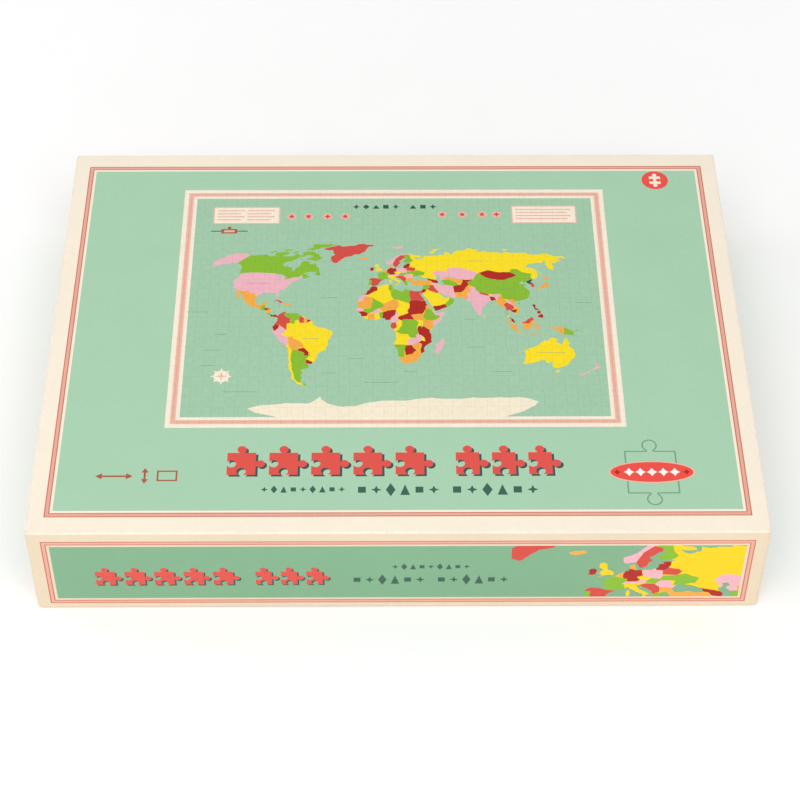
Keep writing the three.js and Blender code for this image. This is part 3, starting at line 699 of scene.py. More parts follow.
# Each covers the land inside it, and may run out over the sea, where it doesn't show.
COUNTRIES = [
    ("pink", [
        (-173, 73), (-141, 73), (-141, 60.3), (-137, 58.9), (-130, 55.5), (-131, 53), (-160, 51),
        (-173, 60),
    ]),
    ("pink", [
        (-126, 49), (-95, 49), (-89, 48), (-83, 46), (-82.5, 43), (-79, 43.3), (-75, 45), (-71, 45.2),
        (-69, 47.3), (-67.5, 45), (-65, 43), (-74, 33), (-79, 24), (-90, 27.5), (-97, 26),
        (-99.5, 27.5), (-101.5, 29.8), (-104.5, 29.5), (-106.5, 31.8), (-111, 31.3), (-114.8, 32.5),
        (-117.2, 32.5), (-122, 31), (-128, 40),
    ]),
    ("orange", [
        (-118, 32.5), (-114.8, 32.5), (-111, 31.3), (-106.5, 31.8), (-104.5, 29.5), (-101.5, 29.8),
        (-99.5, 27.5), (-96, 26), (-95, 22), (-86, 22.5), (-88.2, 18.3), (-91, 17.8), (-92.2, 14.3),
        (-106, 16), (-119, 28),
    ]),
    ("dark_red", [(-89, 14.3), (-88, 16.2), (-83, 15.2), (-86, 13.2)]),
    ("orange", [(-88, 12.8), (-86, 14), (-83, 15), (-83.4, 10.8), (-86, 10.8)]),
    ("dark_red", [(-83.2, 8), (-82.5, 10), (-77, 9.8), (-77.5, 7)]),
    ("red", [
        (-77.5, 8.7), (-75, 12), (-71.3, 12.8), (-72.5, 9), (-70, 7), (-67.4, 6), (-67.3, 2),
        (-69.8, 1.5), (-69.9, -4.2), (-75, -0.2), (-79.5, 1.2), (-79, 6),
    ]),
    ("green", [
        (-71.5, 12.5), (-72.5, 9), (-70, 7), (-67.4, 6), (-67.3, 2.3), (-65.5, 0.9), (-63.5, 2.2),
        (-64, 4), (-61, 5), (-60.3, 7.5), (-59.5, 9), (-61, 12), (-70, 13),
    ]),
    ("red", [(-60, 8.8), (-61, 5), (-59.8, 2), (-57.2, 2), (-57, 6.5)]),
    ("orange", [(-57, 6.5), (-57.2, 2), (-54.6, 2.2), (-54, 6.3)]),
    ("dark_red", [(-54, 6.3), (-54.6, 2.2), (-51.6, 4), (-51.5, 5)]),
    ("dark_red", [
        (-80.5, 1.4), (-77.5, 0.6), (-75.3, -0.3), (-76.5, -2.8), (-79, -5), (-80.5, -4), (-82, -2),
    ]),
    ("pink", [
        (-80.5, -3.6), (-79, -5), (-76.5, -2.8), (-75.2, -0.3), (-73, -2.4), (-70, -4.2), (-73.5, -7.5),
        (-72.5, -9.8), (-70.5, -9.5), (-69, -12.2), (-69.2, -16), (-70.4, -18.3), (-76, -18), (-83, -7),
    ]),
    ("orange", [
        (-69.5, -11), (-65.4, -9.8), (-65, -12), (-60.4, -13.8), (-58.3, -16.3), (-57.8, -20),
        (-62, -19.5), (-62.8, -22), (-67.5, -22.8), (-69.2, -17.8), (-69, -12.5),
    ]),
    ("green", [
        (-67, -22.6), (-62.7, -22), (-57.8, -25.2), (-58.6, -27.2), (-55.8, -27.3), (-54.4, -25.5),
        (-53.8, -27), (-57.7, -30.2), (-58.4, -33), (-55, -36), (-62, -45), (-67, -49), (-64, -55),
        (-68.6, -55.4), (-68.5, -52.3), (-72, -51.5), (-73, -48), (-71.7, -44), (-71.5, -39),
        (-70, -34), (-69.8, -30), (-68.3, -25),
    ]),
    ("dark_red", [
        (-62.3, -20.8), (-58, -20), (-55.8, -22.3), (-54.4, -24.2), (-55.8, -27.3), (-58.6, -27.2),
        (-57.8, -25.2), (-62.6, -22.3),
    ]),
    ("dark_red", [(-58.4, -34.6), (-57.7, -30.3), (-53.3, -32.8), (-53, -35)]),
    # Europe
    ("pink", [
        (3, 58), (8, 57.5), (11.5, 59), (12.5, 61.5), (14, 64.5), (20, 69), (25, 69), (28.5, 69.8),
        (31.5, 70.5), (25, 72), (12, 68), (3, 62),
    ]),
    ("red", [
        (11.3, 59), (12.5, 61.5), (14, 64.5), (20, 69), (24, 67.8), (24.2, 65.6), (20, 63),
        (19.5, 59.5), (17, 56), (14, 54.9), (12.5, 55.2), (11, 57.5),
    ]),
    ("green", [
        (20.6, 69.1), (24, 67.8), (24.2, 65.6), (20.5, 63), (20.8, 60), (26, 59.7), (30.5, 61.8),
        (31.5, 63), (29.5, 66), (29.5, 69.5), (26, 69.9),
    ]),
    ("orange", [(8, 57.3), (11, 57.9), (11.5, 54.8), (8.3, 54.8)]),
    ("red", [
        (-9.5, 44.2), (-1.7, 43.5), (3.4, 42.5), (3.5, 40), (0, 37), (-6, 35.8), (-7.4, 37), (-7, 41.8),
        (-9.5, 42),
    ]),
    ("green", [(-9.8, 42), (-6.8, 41.9), (-7.2, 37), (-10, 36.7)]),
    ("green", [
        (-5.5, 48.8), (-1.9, 50), (1.7, 51), (6, 49.5), (8.2, 48.9), (7, 46), (7.6, 43.2), (3, 42.4),
        (-1.8, 43.2), (-1.8, 46),
    ]),
    ("orange", [(2, 51.2), (4, 53), (7, 53.8), (6.2, 50.5), (6, 49.4), (4.5, 50)]),
    ("dark_red", [
        (7, 53.9), (8.5, 55), (14.2, 54.4), (15, 51), (12.2, 50.2), (13.8, 48.6), (12.5, 47.6),
        (7.6, 47.5), (8.2, 49), (6.2, 49.5), (6, 51.8),
    ]),
    ("pink", [(14.2, 54.4), (19, 55), (23.5, 54), (23.7, 51), (22.7, 49.2), (18.8, 49.5), (15, 51)]),
    ("yellow", [(12.2, 50.2), (15, 51), (18.8, 49.5), (16.9, 48.6), (13.8, 48.6)]),
    ("pink", [
        (6, 46), (7.6, 47.6), (9.6, 47.5), (13, 47.7), (15, 48.9), (17, 48.2), (16, 46.8), (10.3, 46.6),
    ]),
    ("green", [(16.2, 46.8), (17, 48.2), (18.8, 49.5), (22.5, 49.1), (22.8, 48), (20.5, 46.1)]),
    ("red", [(13.4, 45.5), (16.2, 46.4), (20.4, 46.1), (22.5, 44.2), (22.6, 41.6), (20.5, 40), (18.5, 41.5)]),
    ("pink", [(20.4, 46.1), (22.8, 48), (26.7, 48.2), (28.2, 45.5), (29.8, 45.2), (28.5, 43.8), (22.7, 44)]),
    ("orange", [(22.5, 44), (28.8, 43.7), (28, 41.8), (23, 41.4)]),
    ("green", [(19.5, 39.7), (21, 41), (26.3, 41.6), (25, 38), (23, 36), (21, 36.4)]),
    ("dark_red", [
        (20.5, 54.4), (20.5, 58), (23.4, 59.6), (28, 59.4), (27.5, 57.3), (26.5, 55.6), (23.6, 54),
    ]),
    ("red", [(23.6, 54), (26.5, 55.6), (31, 55), (32.5, 53.2), (30.5, 51.4), (23.6, 51.6)]),
    ("green", [
        (22.2, 48.2), (24, 51), (30.5, 51.5), (34, 52.2), (40, 49.6), (38, 46.6), (33, 45.9),
        (36.8, 45), (33.5, 44.2), (30, 45.3), (28.2, 45.5), (29.5, 48), (26.7, 48.2),
    ]),
    # Asia
    ("orange", [
        (26, 40), (26, 42), (28, 41.7), (36, 42.5), (41.5, 41.6), (44.5, 39.7), (42.5, 37.2), (36, 36),
        (25, 35),
    ]),
    ("dark_red", [
        (39, 44), (44.5, 42.7), (48.5, 41.8), (50.5, 40.2), (49, 38.5), (44.8, 39.3), (43.5, 41),
        (41.5, 41.5),
    ]),
    ("pink", [
        (46.5, 48.5), (51, 51.7), (60, 50.8), (61.5, 53.9), (70, 55.3), (77, 53.5), (83.5, 51),
        (87.3, 49.1), (82.5, 45.5), (80.3, 42.2), (75.5, 43), (70.5, 42.3), (66, 43), (61, 44.5),
        (56, 45), (55.9, 41.3), (52.5, 41.8), (48, 45),
    ]),
    ("orange", [(55.9, 45), (61, 44.5), (66, 43), (71, 42.3), (73, 40.3), (68, 37.2), (62, 42), (56, 41.3)]),
    ("green", [(52, 41.8), (57, 42.3), (62, 41.5), (66.5, 37.4), (61.2, 35.3), (53, 37)]),
    ("dark_red", [(70.5, 42.3), (80.3, 42.2), (74, 39.3), (74.8, 37.4), (68, 37), (70.5, 40.5)]),
    ("green", [
        (73.8, 39.5), (80.2, 42.2), (82.5, 45.3), (87.5, 49.1), (91, 45.2), (96.4, 42.8), (105, 41.6),
        (111.8, 43.6), (119.8, 46.7), (116, 49.8), (120.5, 53.3), (125.6, 53), (127.5, 49.8),
        (130.8, 48.8), (134.7, 48.4), (131, 44.8), (131, 42.8), (124.3, 39.8), (123.5, 31),
        (121, 22), (112, 19), (108, 21.4), (102.3, 22.5), (98.5, 24), (97.5, 28.2), (92, 27.8),
        (85.5, 28.2), (79, 31), (78.5, 34.5), (74.9, 37.3),
    ]),
    ("dark_red", [
        (87.8, 49.1), (98, 52), (102.3, 50.7), (107, 49.6), (116, 49.9), (119.8, 46.7), (111.8, 43.7),
        (105, 41.7), (96.4, 42.8), (90.8, 45.2),
    ]),
    ("navy", [(124, 40), (129.8, 42.3), (131, 42.3), (129, 38.3), (124.5, 38)]),
    ("red", [(124.5, 38), (129, 38.3), (131, 36), (127, 33.5)]),
    ("pink", [
        (68, 23.7), (71, 24.6), (70.5, 28), (74.5, 31), (74, 34.5), (79, 35), (78.8, 31.4), (81, 30.1),
        (88, 26.6), (89, 26.8), (92, 27.8), (97.3, 28.2), (94, 23.5), (92.4, 21.8), (88.5, 19),
        (80.5, 6), (76, 6), (68, 20),
    ]),
    ("dark_red", [(88.3, 26), (92.2, 25), (92.4, 21), (88.8, 21)]),
    ("red", [(80.2, 30), (88, 27.9), (88.1, 26.5), (81.5, 28.3)]),
    ("orange", [
        (61.5, 24.5), (61, 29.5), (66.3, 29.8), (69.5, 32), (71.5, 36.3), (75, 37), (77, 35.5),
        (74, 34.5), (74.5, 31), (70.5, 28), (71, 24.6), (68, 23),
    ]),
    ("dark_red", [
        (61, 35.5), (64.5, 36.8), (68, 37.2), (74.8, 37.3), (71.2, 34.5), (69.3, 31.9), (66.3, 29.8),
        (61, 29.6),
    ]),
    ("pink", [
        (44.2, 39.5), (48.5, 38.6), (49, 37), (54, 37), (61, 36), (61, 29.6), (61.7, 25), (57, 25.4),
        (50, 28), (48.3, 30), (45.6, 34),
    ]),
    ("red", [
        (42.3, 37.2), (45, 37), (45.6, 34), (48.4, 30), (46.6, 29), (41, 31.5), (38.8, 33.3),
        (41.2, 34.5),
    ]),
    ("green", [(35.8, 36.8), (42.3, 37.2), (41.2, 34.5), (38.8, 33.3), (35.4, 32.7)]),
    ("dark_red", [(34.2, 31.3), (35.4, 33), (38.8, 33), (37, 30), (35, 29.3)]),
    ("red", [(32.3, 31.5), (34.3, 31.3), (35, 29.5), (34.3, 27.3), (32.3, 29.8)]),
    ("green", [(52, 19), (55.5, 22.8), (56.2, 25), (60.3, 23), (57, 17), (53, 16.3)]),
    ("dark_red", [(42.5, 17), (47, 17.4), (52, 19), (53.2, 16), (45, 12.2), (43, 12.4)]),
    ("orange", [
        (92.3, 21), (94, 23.8), (97.3, 28.3), (98.6, 24.1), (101, 21.5), (97.5, 18.3), (98.8, 13),
        (98.5, 10), (94, 15),
    ]),
    ("red", [
        (97.6, 18.3), (100.2, 20.3), (104.8, 17.5), (105.5, 14.5), (102.5, 13.5), (102, 12), (99.6, 9),
        (98, 7.5), (98.8, 13),
    ]),
    ("orange", [
        (102.3, 22.4), (105.5, 23.3), (108.2, 21.4), (107, 18), (110, 14), (109, 11), (105, 8),
        (105.8, 10.9), (107.5, 12.5), (107.5, 15), (104, 19),
    ]),
    ("dark_red", [(102.5, 13.5), (107.5, 14.3), (106, 11), (102.6, 10.3)]),
    ("pink", [(100.2, 20.3), (102.2, 22.4), (104, 20), (107.5, 15.5), (105.5, 14.5), (104.8, 17.5)]),
    ("dark_red", [(99.8, 6.6), (103.5, 6), (105, 1), (101, 2.3)]),
    ("red", [(109.3, 1.5), (114.8, 0.9), (117.7, 4.2), (119.7, 5), (116.5, 8), (111, 3.2)]),
    ("green", [(141, 0), (141, -12), (153, -12), (153, 0)]),
    # Africa
    ("dark_red", [
        (-6, 36.2), (-1.8, 35.4), (-1.3, 32), (-5.5, 29.8), (-8.7, 27.7), (-13.2, 27.7), (-11, 31.5),
    ]),
    ("pink", [(-13.5, 27.7), (-8.7, 27.7), (-8.7, 26), (-12, 26), (-12, 23.5), (-13, 21.3), (-18, 21)]),
    ("orange", [
        (-18, 21), (-13, 21.3), (-12, 23.5), (-12, 26), (-8.7, 26), (-5, 25), (-5.4, 15.6), (-12, 14.8),
        (-17, 16),
    ]),
    ("green", [
        (-5, 25), (0, 21.5), (3.2, 19.3), (4.2, 16.5), (0, 14.9), (-5, 11.8), (-8, 10.3), (-11.4, 12.3),
        (-12, 14.8), (-5.4, 15.6),
    ]),
    ("orange", [
        (3.2, 19.3), (4.2, 19.3), (12, 23.5), (15, 23), (15.5, 17), (13.5, 13.8), (7, 13), (3.6, 12),
        (0.5, 14.8), (4.2, 16.5),
    ]),
    ("green", [(8, 38), (11.8, 37.3), (11.5, 33.2), (9, 30.3), (7.5, 33.8)]),
    ("green", [
        (11.4, 33.3), (9.3, 30.2), (9.8, 26.3), (12, 23.5), (15, 23), (24, 19.6), (25, 22), (25, 33),
        (15, 33.5),
    ]),
    ("red", [(25, 32.5), (25, 22), (37.5, 22), (35, 27), (33, 29.8), (32.4, 32)]),
    ("dark_red", [
        (24, 20), (25, 22), (37.5, 22), (38.5, 18), (36.5, 14.3), (34, 10), (27, 9.5), (24, 8.7),
        (22, 12.7), (24, 15.7),
    ]),
    ("orange", [(24, 8.7), (27, 9.5), (34, 10), (36, 5), (33, 4), (27.5, 4.6)]),
    ("pink", [(-18, 16.2), (-12, 14.8), (-11.4, 12.3), (-17.5, 12.3)]),
    ("dark_red", [(-17.5, 12.3), (-11.4, 12.3), (-8, 10.3), (-9, 8), (-13.5, 7.5)]),
    ("orange", [(-8, 10.3), (-3, 10), (-3, 4.5), (-8, 3.8)]),
    ("yellow", [(-3, 11), (0, 11), (1.2, 5.2), (-3, 4.5)]),
    ("pink", [(-5, 11.8), (0, 14.9), (2.3, 12.2), (0, 11), (-3, 10), (-5, 10.4)]),
    ("green", [(0, 11), (3.6, 12), (2.8, 6), (1.2, 5.5)]),
    ("dark_red", [(2.8, 6), (3.6, 11.7), (7, 13), (13.5, 13.6), (13, 10), (9, 5), (8, 3.6), (5, 4)]),
    ("pink", [(9, 4.5), (9.5, 6.5), (13.2, 10), (14.5, 12.8), (15.5, 10), (14.5, 6), (16, 2), (9, 2.2)]),
    ("dark_red", [(15.5, 7.6), (19, 9), (23, 10.8), (27.4, 5), (18.6, 3.6), (14.7, 5.5)]),
    ("red", [(8.5, 2.2), (13.3, 2.2), (14, -2), (11, -4), (8, -0.8)]),
    ("yellow", [(13.3, 2.2), (18.5, 3.6), (17.8, 0), (15.3, -4.5), (11.5, -5), (11, -4), (14, -2)]),
    ("green", [
        (18.6, 5), (27.4, 5), (31.2, 2), (29.3, -1.5), (29.3, -4.5), (30.8, -8.3), (28.6, -12),
        (24, -11), (22, -8), (17, -8), (13, -5.9), (15.3, -4.5), (17.8, -0.5),
    ]),
    ("yellow", [(31, 3.8), (34, 4), (35, 0.5), (31, -1), (29.5, -1)]),
    ("orange", [(34, 4.5), (41.9, 4), (41.5, -2), (39.3, -4.7), (34, -1)]),
    ("green", [
        (36.5, 14.3), (40, 14.6), (42.5, 11), (43.2, 9.2), (47.8, 8), (45, 5), (41.9, 4), (36, 4.5),
        (34, 8.5),
    ]),
    ("orange", [(36.5, 17), (38.5, 18.5), (43.5, 12.4), (40, 14.5), (36.5, 14.3)]),
    ("pink", [(42.8, 11.8), (52, 12.5), (48, 1), (41.5, -2.4), (41.9, 4), (45, 5), (47.8, 8), (43.2, 9.2)]),
    ("dark_red", [
        (30.8, -8.3), (29.5, -4.5), (30.5, -1), (34, -1), (39.2, -4.7), (41.5, -11), (35, -11.5),
        (33, -9.5),
    ]),
    ("pink", [
        (22, -13), (24, -13), (24, -11), (28.5, -12.3), (28.5, -8.5), (30.8, -8.3), (33, -9.5),
        (33, -14), (30.3, -15.7), (27, -18), (23.4, -17.6), (22, -16),
    ]),
    ("dark_red", [
        (35, -11.5), (42, -10.5), (42, -16), (36.5, -24), (33, -27), (32, -22.3), (33, -17),
        (30.3, -15.7), (33, -14), (35.8, -14.5),
    ]),
    ("orange", [(25.3, -17.8), (30.3, -15.7), (33, -17.5), (31.3, -22.3), (28, -21.5)]),
    ("green", [
        (11, -17.3), (21, -17.8), (23.5, -17.6), (21, -18.3), (20, -22), (20, -28.5), (16, -28.7),
        (12, -23),
    ]),
    ("orange", [
        (15.5, -28.7), (20, -28.5), (20.7, -26.8), (26, -25.7), (29.5, -22.2), (31.3, -22.4), (33, -27),
        (33, -30), (26, -36), (16, -36),
    ]),
    ("dark_red", [
        (20, -22), (21, -18.3), (25.3, -17.8), (28, -21.5), (29.3, -22.2), (26, -25.7), (20.7, -26.8),
    ]),
]

WATERS = [
    [(28, 43), (29, 41.3), (31.5, 41.3), (35, 42), (38, 41), (41.4, 41.5), (40.8, 43), (38.5, 44.4),
     (36.5, 45.3), (35, 45), (33.6, 44.5), (33, 45.9), (31, 46.4), (29.7, 45.2)],
    [(50, 45), (47.5, 43.5), (49.5, 40.8), (49, 38), (51, 36.8), (53.8, 37), (53.6, 39.5),
     (52.8, 41), (51, 44), (53, 45.3), (52.5, 46.8), (49.5, 46.3)],
    [(-92, 46.8), (-87, 46.3), (-84.5, 46.7), (-88, 48.5)],
    [(-87.8, 42), (-86, 43), (-85.5, 45.8), (-87.6, 45)],
    [(-83.5, 45.6), (-82.3, 43.4), (-80.5, 45)],
    [(58.5, 45.5), (59, 44), (61, 45), (60.5, 46.5)],
    [(32, 0), (33, -2.4), (34.3, -0.5)],
]

ANTARCTICA = [
    (-158, -96), (-163, -84), (-158, -79), (-140, -76), (-120, -74.5), (-100, -73), (-80, -73.5),
    (-68, -69.5), (-60, -66), (-62, -69), (-58, -74), (-45, -77), (-30, -76), (-15, -72.5), (0, -70.5),
    (30, -69.8), (50, -67.5), (70, -68.5), (90, -67.2), (115, -67.2), (135, -67), (150, -69),
    (163, -72), (168, -76), (172, -83), (168, -96),
]

# The map's projection keeps each line of latitude straight, and shortens it towards the poles.
MAP_CENTRE = (-2.29, 2.48)
MIDDLE_LONGITUDE = 10.73
EQUATOR_SCALE = 0.7073  # millimetres to a degree along the equator
HEIGHT_SCALE = 48.36  # millimetres to a radian of latitude, near the equator
COAST_ROUGHNESS = 0.16
BORDER_ROUGHNESS = 0.05
LAKE_ROUGHNESS = 0.1
SHORTEST_EDGE = 0.9
COAST_ROUNDS = 2


def on_map(place):
    """Where a longitude and latitude in degrees come on the map, in millimetres."""
    longitude, latitude = place
    phi = math.radians(latitude)
    width = 1 - 0.1668 * phi ** 2 - 0.0128 * phi ** 4
    x = MAP_CENTRE[0] + (longitude - MIDDLE_LONGITUDE) * EQUATOR_SCALE * width
    y = MAP_CENTRE[1] + HEIGHT_SCALE * (phi - 0.048 * phi ** 3)
    return x, y


def crinkled(outline, roughness, seed):
    """Breaks long edges at a point pushed a little to one side, as a coast is broken."""
    dice = random.Random(seed)
    for _ in range(COAST_ROUNDS):
        finer = []
        for (ax, ay), (bx, by) in zip(outline, outline[1:] + outline[:1]):
            finer.append((ax, ay))
            if math.hypot(bx - ax, by - ay) > SHORTEST_EDGE:
                push = dice.uniform(-roughness, roughness)
                finer.append(((ax + bx) / 2 + (by - ay) * push, (ay + by) / 2 - (bx - ax) * push))
        outline = finer
    return outline


def add_map(panel, scale, shift, window, sea):
    """The map at a scale, cut off at the window's edges. shift is where its own (0, 0) comes on
    the panel. Land only shows inside the window, and borders only show on land."""
    left, bottom, right, top = window
    panel.add(None, box_outline(*window), group="window")

    def placed(points, roughness, seed):
        outline = crinkled([on_map(point) for point in points], roughness, seed)
        return [(shift[0] + scale * x, shift[1] + scale * y) for x, y in outline]

    def add(ink, points, roughness, seed, group, needs):
        outline = placed(points, roughness, seed)
        xs = [x for x, _ in outline]
        ys = [y for _, y in outline]
        if min(xs) < right and max(xs) > left and min(ys) < top and max(ys) > bottom:
            panel.add(ink, outline, group, needs)

    for number, (ink, points) in enumerate(COASTS):
        add(ink, points, COAST_ROUGHNESS, number, "land", "window")
    for number, (ink, points) in enumerate(COUNTRIES):
        add(ink, points, BORDER_ROUGHNESS, number, None, "land")
    for number, points in enumerate(WATERS):
        add(sea, points, LAKE_ROUGHNESS, number, None, "window")
    add("map_cream", ANTARCTICA, BORDER_ROUGHNESS, 0, None, "window")


# ---- What is printed on each panel ----
FRAME_BANDS = (("frame_line", 0.6), ("coral", 1.5), ("frame_line", 0.6), ("cream", 1.4), ("mint", 0))
INSET_BANDS = (
    ("cream", 2.6), ("salmon", 1.0), ("coral", 0.8), ("salmon", 1.0), ("cream", 2.0), ("sea", 0),
)
INSET_BORDER = sum(width for _, width in INSET_BANDS)

# The title is two groups of pieces: where each group starts and ends, and its number of pieces.
TITLE_GROUPS = ((0.0, 0.623, 5), (0.677, 1.0, 3))
TITLE_PIECE = (-1, 1, 1, -1)
TITLE_KNOB = 0.125  # a knob's radius, in shares of the title's height
TITLE_SHADOW = 0.06  # how far the shadow falls, in shares of the same height
TITLE_FILL = 0.9  # how much of its pitch a piece takes up

# An ornament's half width in shares of the row's pitch, and then how far a square or triangle and
# a star's tips and notches reach, in shares of the ornament's own half width or half height
ORNAMENT_WIDTH = 0.34
SQUARE_REACH = 0.8
STAR_REACH = (1.1, 0.45)

# Places and sizes on the top panel, as (left, bottom, right, top), or with a count after them
TOP_FRAME = (-176.4, -130.7, 176.4, 130.7)
TOP_TITLE = (-86.8, -103.3, 85.0, -83.9)
TOP_ORNAMENTS = (
    (-69.1, -115.6, -26.5, -110.4, 9), (-20.9, -117.7, 20.7, -109.0, 6), (26.8, -117.7, 70.7, -109.0, 6),
)
LEGENDS = ((-103.2, 82.3, -65.4, 96.4, 2), (65.2, 82.5, 102.0, 97.0, 1))
MAP_HEADING = ((-24.6, 94.3, 2.0, 98.3, 5), (7.5, 94.3, 23.1, 98.3, 3))
SCALE_BAR = (-103.9, 76.0, -83.3, 76.7)
SCALE_PLATE = (-96.6, 75.5, -90.6, 77.1)
SCALE_PIECE = (-93.6, 76.3, 9, 3.6)  # middle, width and height
SIZE_BOX = (-121.9, -107.3, -111.5, -100.3)

# A legend's ruled lines: how far they stay inside it, and how far apart they are
LEGEND_LINES = 4
LEGEND_LEFT = 2.4
LEGEND_RIGHT = 1.6
LEGEND_TOP = 3.2
LEGEND_PITCH = 2.5
LEGEND_STEP = 2  # every other line is this much shorter
RULE_HALF_WIDTH = 0.45

# Rows of emblems over the map, each as its height and the places along it
EMBLEM_ROWS = ((88.3, (-58.9, -49.4, -38.6, -28.7)), (89.8, (26.1, 37.4, 48.6, 56.8)))
COMPASS = (-92.7, -35.1)
BADGE = (128.7, -102.1)
BADGE_PIECE = (26.4, 28.4)
BADGE_LINE = 0.75
BADGE_STARS = 5
BADGE_STAR_PITCH = 5.8
ROUNDEL = (148.9, 118.4)

# The size arrows: start, end and length of the head
SIZE_ARROWS = (((-153, -104), (-134, -104), 3.4), ((-128, -109), (-128, -98.6), 3.0))
ARROW_WIDTH = 1.1
ARROW_WING = 0.6  # half the width of an arrow's head, in shares of its length

# Ruled lines on the map, each as its longitude and latitude, and its length in units of 0.6 mm
DASH_UNIT = 0.6
DASH_HALF_WIDTH = 0.14
DASHES = (
    ((-105, 60), 13), ((-102, 39), 22), ((-52, -12), 15), ((93, 62), 15), ((104, 33), 13),
    ((134, -25), 26), ((-132, -61), 30), ((-42, -43), 12), ((-40, 25), 16), ((75, -20), 16),
    ((-140, 12), 18), ((-18, -30), 16), ((100, -42), 20), ((160, 20), 14), ((0, -52), 30),
    ((-128, -22), 15), ((-120, -8), 12), ((-138, -36), 12), ((25, -42), 12), ((70, 5), 10),
)

# The same on the long walls, and then on the short ones
LONG_FRAME = (-178, 4.3, 178, 54.3)
LONG_TITLE = (-153.1, 19.6, -33.6, 33.4)
LONG_ORNAMENTS = (
    (-3.2, 31.0, 36.2, 36.2, 9), (-23.3, 18.8, 13.6, 27.4, 6), (19.5, 18.8, 56.0, 27.4, 6),
)
SIDE_MAP_SCALE = 1.87
SIDE_MAP_SHIFT = (123.5, -56.2)
SIDE_MAP_WINDOW = (56.7, 8.4, 173.9, 50.2)
SHORT_FRAME = (-134, 4.3, 134, 54.3)
SHORT_TITLE = (-60, 25.5, 60, 39.5)
SHORT_ORNAMENTS = ((-48, 14.6, -4, 20.6, 7), (4, 14.6, 48, 20.6, 7))


def add_title(panel, left, bottom, right, top):
    """Groups of like jigsaw pieces, each with a shadow to its lower right."""
    height = top - bottom
    knob = height * TITLE_KNOB
    stand = knob * (1 + KNOB_REACH)
    drop = height * TITLE_SHADOW
    for start, end, count in TITLE_GROUPS:
        pitch = (right - left) * (end - start) / count
        body = (pitch * TITLE_FILL - stand, height - stand, TITLE_PIECE, knob)
        for number in range(count):
            x = left + (right - left) * start + pitch * number + body[0] / 2
            y = bottom + body[1] / 2
            panel.add("navy", jigsaw_outline(x + drop, y - drop, *body))
            panel.add("title_red", jigsaw_outline(x, y, *body))


def add_ornaments(panel, ink, left, bottom, right, top, count):
    """An even row of small shapes: triangle, square, star and diamond, over and over."""
    pitch = (right - left) / (count - 0.25)
    size = (top - bottom) / 2
    width = min(pitch * ORNAMENT_WIDTH, size)
    y = (bottom + top) / 2
    for number in range(count):
        x = left + pitch * (number + 0.375)
        kind = (number * 3 + count) % 4
        if kind == 0:
            panel.add(ink, [(x, y - size), (x + width, y), (x, y + size), (x - width, y)])
        elif kind == 1:
            outer, inner = (width * share for share in STAR_REACH)
            panel.add(ink, star_outline(x, y, outer, inner, 4))
        elif kind == 2:
            half = width * SQUARE_REACH
            panel.box(ink, x - half, y - half, x + half, y + half)
        else:
            rise = size * SQUARE_REACH
            panel.add(ink, [(x - width, y - rise), (x + width, y - rise), (x, y + rise)])


def add_arrow(panel, ink, start, end, thickness, head):
    """A line with a head at both ends."""
    along = (Vector(end) - Vector(start)).normalized()
    out = Vector((-along.y, along.x))
    a, b = Vector(start), Vector(end)
    half = out * thickness / 2
    wing = out * head * ARROW_WING
    outline = [
        a, a + along * head + wing, a + along * head + half, b - along * head + half,
        b - along * head + wing, b, b - along * head - wing, b - along * head - half,
        a + along * head - half, a + along * head - wing,
    ]
    panel.add(ink, [tuple(point) for point in outline])


def add_dashes(panel):
    """Thin ruled lines: the map's scale marks and lines of latitude."""
    for place, length in DASHES:
        x, y = on_map(place)
        half = length / 2 * DASH_UNIT
        panel.box("navy_faint", x - half, y - DASH_HALF_WIDTH, x + half, y + DASH_HALF_WIDTH)


def add_legend(panel, left, bottom, right, top, columns):
    """A pale box with ruled lines in one column or more."""
    panel.bands(left, bottom, right, top, (("salmon", 0.7), ("cream", 0)))
    column = (right - left - LEGEND_LEFT - LEGEND_RIGHT) / columns
    for number in range(columns):
        start = left + LEGEND_LEFT + number * column
        for line in range(LEGEND_LINES):
            y = top - LEGEND_TOP - line * LEGEND_PITCH
            end = start + column - LEGEND_RIGHT - LEGEND_STEP * (line % 2)
            panel.box("salmon", start, y - RULE_HALF_WIDTH, end, y + RULE_HALF_WIDTH)


def add_inset(panel):
    """The picture of the finished puzzle: its border, its map and what lies round the map."""
    left, bottom, right, top = INSET
    panel.bands(left, bottom, right, top, INSET_BANDS)
    window = (left + INSET_BORDER, bottom + INSET_BORDER, right - INSET_BORDER, top - INSET_BORDER)
    add_map(panel, 1, (0, 0), window, "sea")
    add_dashes(panel)
    for legend in LEGENDS:
        add_legend(panel, *legend)
    for y, row in EMBLEM_ROWS:
        for x in row:
            panel.add("salmon", ellipse_outline(x, y, 2.6, 2.6, 24))
            panel.add("red", star_outline(x, y, 2.1, 0.9, 4 + round(x) % 3))
    for row in MAP_HEADING:
        add_ornaments(panel, "navy", *row)
    panel.box("navy", *SCALE_BAR)
    panel.add("rust", jigsaw_outline(*SCALE_PIECE, (0, 0, 1, 0), 1.1))
    panel.box("salmon", *SCALE_PLATE)
    panel.add("cream", ellipse_outline(*COMPASS, 4.2, 4.2, 32))
    panel.add("cream", star_outline(*COMPASS, 6.0, 2.9, 8))
    panel.add("salmon", star_outline(*COMPASS, 3.6, 0.8, 4))


